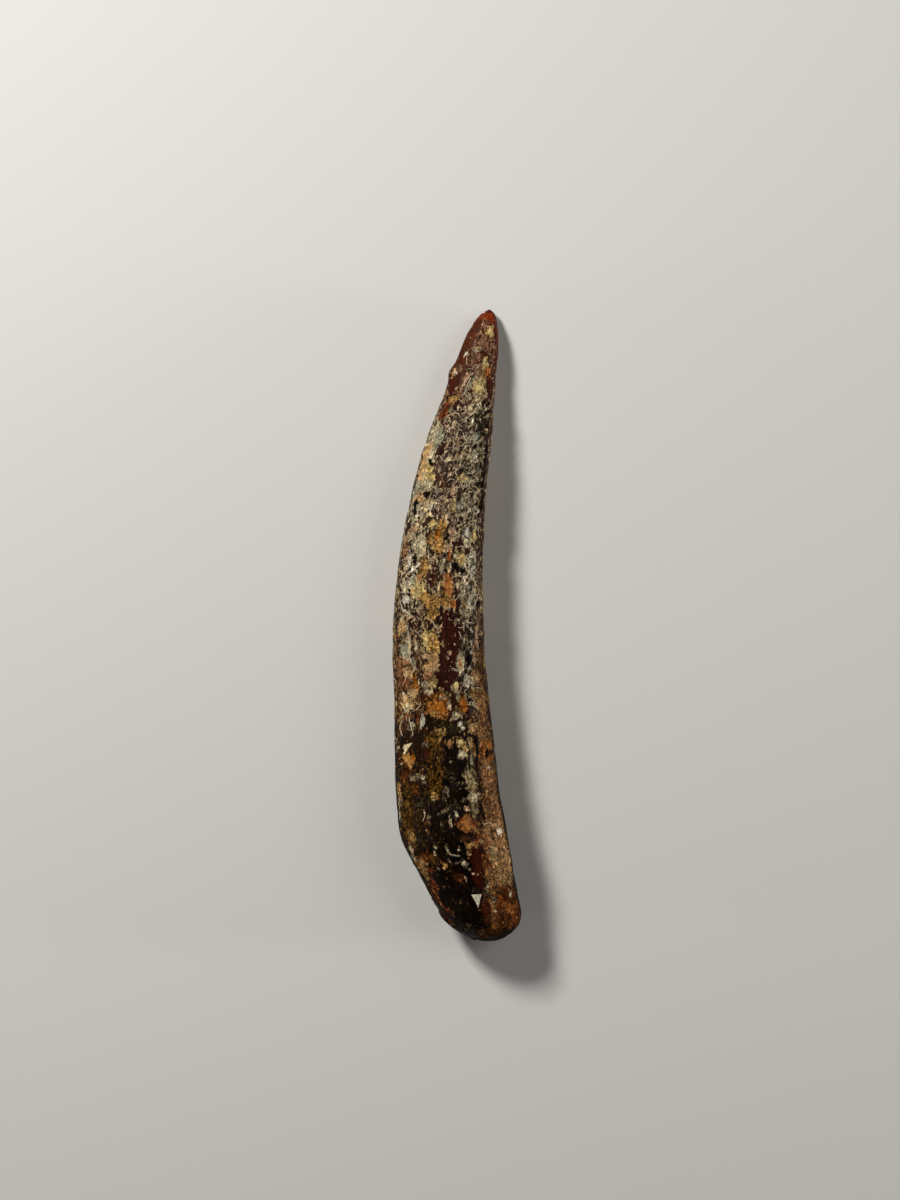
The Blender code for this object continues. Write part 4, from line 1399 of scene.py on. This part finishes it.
def skin_material():
    """Satin tooth under matt sediment, whose edges are broken up and rimmed finer than the mesh."""
    nodes = Nodes("fossil_skin")
    place = nodes.attribute("straight", "Vector")
    cover, pattern, grit = (nodes.attribute(name) for name in ("cover", "pattern", "grit"))
    fray = nodes.math("MULTIPLY", nodes.noise(place, *FRAY), FRAY_SHARE)
    level = nodes.math("ADD", nodes.math("ADD", pattern, cover), fray)
    mask = nodes.ramp(level, *MASK_LEVELS)
    rim = product(nodes, mask, nodes.ramp(level, *RIM_LEVELS, 1.0, 0.0), nodes.ramp(cover, 0.3, 0.7))
    shadow = nodes.ramp(level, *SHADOW_LEVELS)

    grain, warm, blotch, streak, speck = (
        nodes.noise(place, *pattern) for pattern in (GRAIN, WARMTH, BLOTCH, STREAK, SPECK)
    )
    cell_colour, cell_gap = nodes.cells(place, CELLS)
    crease = thin_lines(nodes, nodes.noise(place, *CREASE), 0.01, 0.05)
    thread = thin_lines(nodes, nodes.noise(place, *THREAD), 0.018, 0.03)
    thread = product(
        nodes, thread, nodes.ramp(cover, 0.15, 0.5), nodes.ramp(cover, 1.0, 1.3, 1.0, 0.25), nodes.ramp(speck, 0.35, 0.55)
    )

    gritty = nodes.math("ADD", grit, 0.3)
    grain_swing = nodes.math("MULTIPLY", nodes.math("SUBTRACT", grain, 0.5), gritty)
    # The dark gaps between the grains and the dark creases are painted shade, laid over the dips that the bump gives
    # them.
    crust_light = product(
        nodes,
        nodes.math("MULTIPLY_ADD", grain_swing, 5.2, 1.05),
        nodes.ramp(cell_colour, 0.0, 1.0, 0.70, 1.30),
        nodes.ramp(cell_gap, 0.02, 0.16, 0.56, 1.05),
        nodes.ramp(crease, 0.0, 1.0, 1.0, 0.3),
    )
    crust_light = product(nodes, crust_light, nodes.ramp(streak, 0.3, 0.7, 0.8, 1.22))
    contrast = nodes.ramp(grit, 0.12, 0.32, 0.45, 1.0)
    crust_light = nodes.math("MULTIPLY_ADD", nodes.math("SUBTRACT", crust_light, 1.0), contrast, 1.0)
    crust_light = nodes.math("MAXIMUM", crust_light, 0.08)
    sediment = nodes.attribute("crust_colour", "Color")
    crust = nodes.mix(nodes.ramp(warm, 0.5, 0.66), sediment, nodes.scaled(sediment, WARM_SHIFT))
    crust = nodes.mix(nodes.ramp(warm, 0.48, 0.36), crust, nodes.scaled(sediment, PALE_SHIFT))
    crust = nodes.mix(nodes.math("MULTIPLY", rim, 0.5), crust, nodes.scaled(sediment, RIM_SHIFT))
    crust = nodes.brightened(crust, crust_light)

    tooth_light = product(
        nodes,
        nodes.ramp(streak, 0.3, 0.7, 0.55, 1.5),
        nodes.ramp(speck, 0.3, 0.7, 0.7, 1.3),
        nodes.ramp(shadow, 0.0, 1.0, 1.0, 0.5),
    )
    tooth = nodes.brightened(nodes.attribute("tooth_colour", "Color"), tooth_light)
    surface = nodes.mix(mask, tooth, crust)
    surface = nodes.mix(nodes.math("MULTIPLY", thread, 0.7), surface, nodes.scaled(sediment, THREAD_SHIFT))

    nodes.put(surface, nodes.shader.inputs["Base Color"])
    tooth_roughness = nodes.ramp(blotch, 0.3, 0.7, 0.4, 0.6)
    nodes.put(nodes.ramp(mask, 0.0, 1.0, tooth_roughness, 0.95), nodes.shader.inputs["Roughness"])
    nodes.shader.inputs["Specular IOR Level"].default_value = 0.035

    crust_height = nodes.math("MULTIPLY_ADD", grain_swing, 0.12, 0.06)
    crust_height = nodes.math("ADD", crust_height, nodes.ramp(cell_gap, 0.0, 0.3, 0.0, 0.03))
    crust_height = nodes.math("ADD", crust_height, nodes.ramp(crease, 0.0, 1.0, 0.0, -0.05))
    crust_height = nodes.math("MULTIPLY", mask, crust_height)
    tooth_height = nodes.math("MULTIPLY_ADD", streak, 0.015, nodes.math("MULTIPLY", thread, 0.05))
    nodes.bump(nodes.math("ADD", crust_height, tooth_height))
    return nodes.material


def mineral_material(name, grain_scale, roughness):
    """A matt mineral in the piece's own colour, with fine darker and paler grain."""
    nodes = Nodes(name)
    place = nodes.scaled(nodes.coordinates(), (1 / MM,) * 3)
    grain = nodes.noise(place, (grain_scale,) * 3)
    colour = nodes.brightened(nodes.attribute("piece_colour", "Color"), nodes.ramp(grain, 0.3, 0.7, 0.6, 1.35))
    nodes.put(colour, nodes.shader.inputs["Base Color"])
    nodes.shader.inputs["Roughness"].default_value = roughness
    nodes.shader.inputs["Specular IOR Level"].default_value = 0.15
    nodes.bump(nodes.math("MULTIPLY", grain, 0.02))
    return nodes.material


def main():
    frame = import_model()
    low, high = (np.array(corner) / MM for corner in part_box("tooth"))
    skin = Skin(frame["nodes"]["tooth"], low, high)
    skin.start_painting()
    skin.paint_everything()
    tooth = skin.make_object()
    tooth.data.materials.append(skin_material())
    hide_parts("tooth")
    threads, grains, flakes = pale_threads(skin), sand_grains(skin), mineral_flakes(skin)
    threads.data.materials.append(mineral_material("pale_mineral", 9.0, 0.9))
    grains.data.materials.append(mineral_material("sand", 7.0, 0.8))
    flakes.data.materials.append(mineral_material("pale_flake", 5.0, 0.55))
    for piece in (tooth, threads, grains, flakes):
        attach(piece, "root")
    build_stage()


FLOOR_SIZE = 2.0
FLOOR_SRGB = (214, 211, 204)


def build_stage():
    """A pale floor, soft lights and a camera that looks straight down."""
    bpy.ops.mesh.primitive_plane_add(size=FLOOR_SIZE, location=(0, 0, -0.00002))
    floor = bpy.context.object
    floor.name = "floor"
    nodes = Nodes("plain_floor")
    nodes.shader.inputs["Base Color"].default_value = (*linear(FLOOR_SRGB), 1.0)
    nodes.shader.inputs["Roughness"].default_value = 0.9
    floor.data.materials.append(nodes.material)

    add_area_light("key", (-0.15, 0.18, 0.19), 0.06, 0.96)
    add_area_light("fill", (0.22, 0.06, 0.22), 0.20, 0.20)
    add_area_light("rim_right", (0.25, -0.02, 0.022), 0.04, 0.30)
    add_area_light("rim_left", (-0.25, -0.06, 0.022), 0.04, 0.12)
    world = bpy.data.worlds.new("studio")
    world.use_nodes = True
    world.node_tree.nodes["Background"].inputs["Color"].default_value = (1.0, 0.98, 0.95, 1.0)
    world.node_tree.nodes["Background"].inputs["Strength"].default_value = 0.03
    bpy.context.scene.world = world

    camera = bpy.data.cameras.new("camera")
    camera.lens = 300.0
    camera.sensor_width = 36.0
    camera.clip_start = 0.01
    holder = bpy.data.objects.new("camera", camera)
    holder.location = (-0.0006, 0.00214, 0.8728)
    bpy.context.scene.collection.objects.link(holder)
    bpy.context.scene.camera = holder
    bpy.context.scene.view_settings.view_transform = "Standard"


def add_area_light(name, place, size, power):
    """A square soft light that faces the tooth."""
    light = bpy.data.lights.new(name, "AREA")
    light.size = size
    light.energy = power
    holder = bpy.data.objects.new(name, light)
    holder.location = place
    holder.rotation_euler = (-Vector(place)).to_track_quat("-Z", "Y").to_euler()
    bpy.context.scene.collection.objects.link(holder)


main()
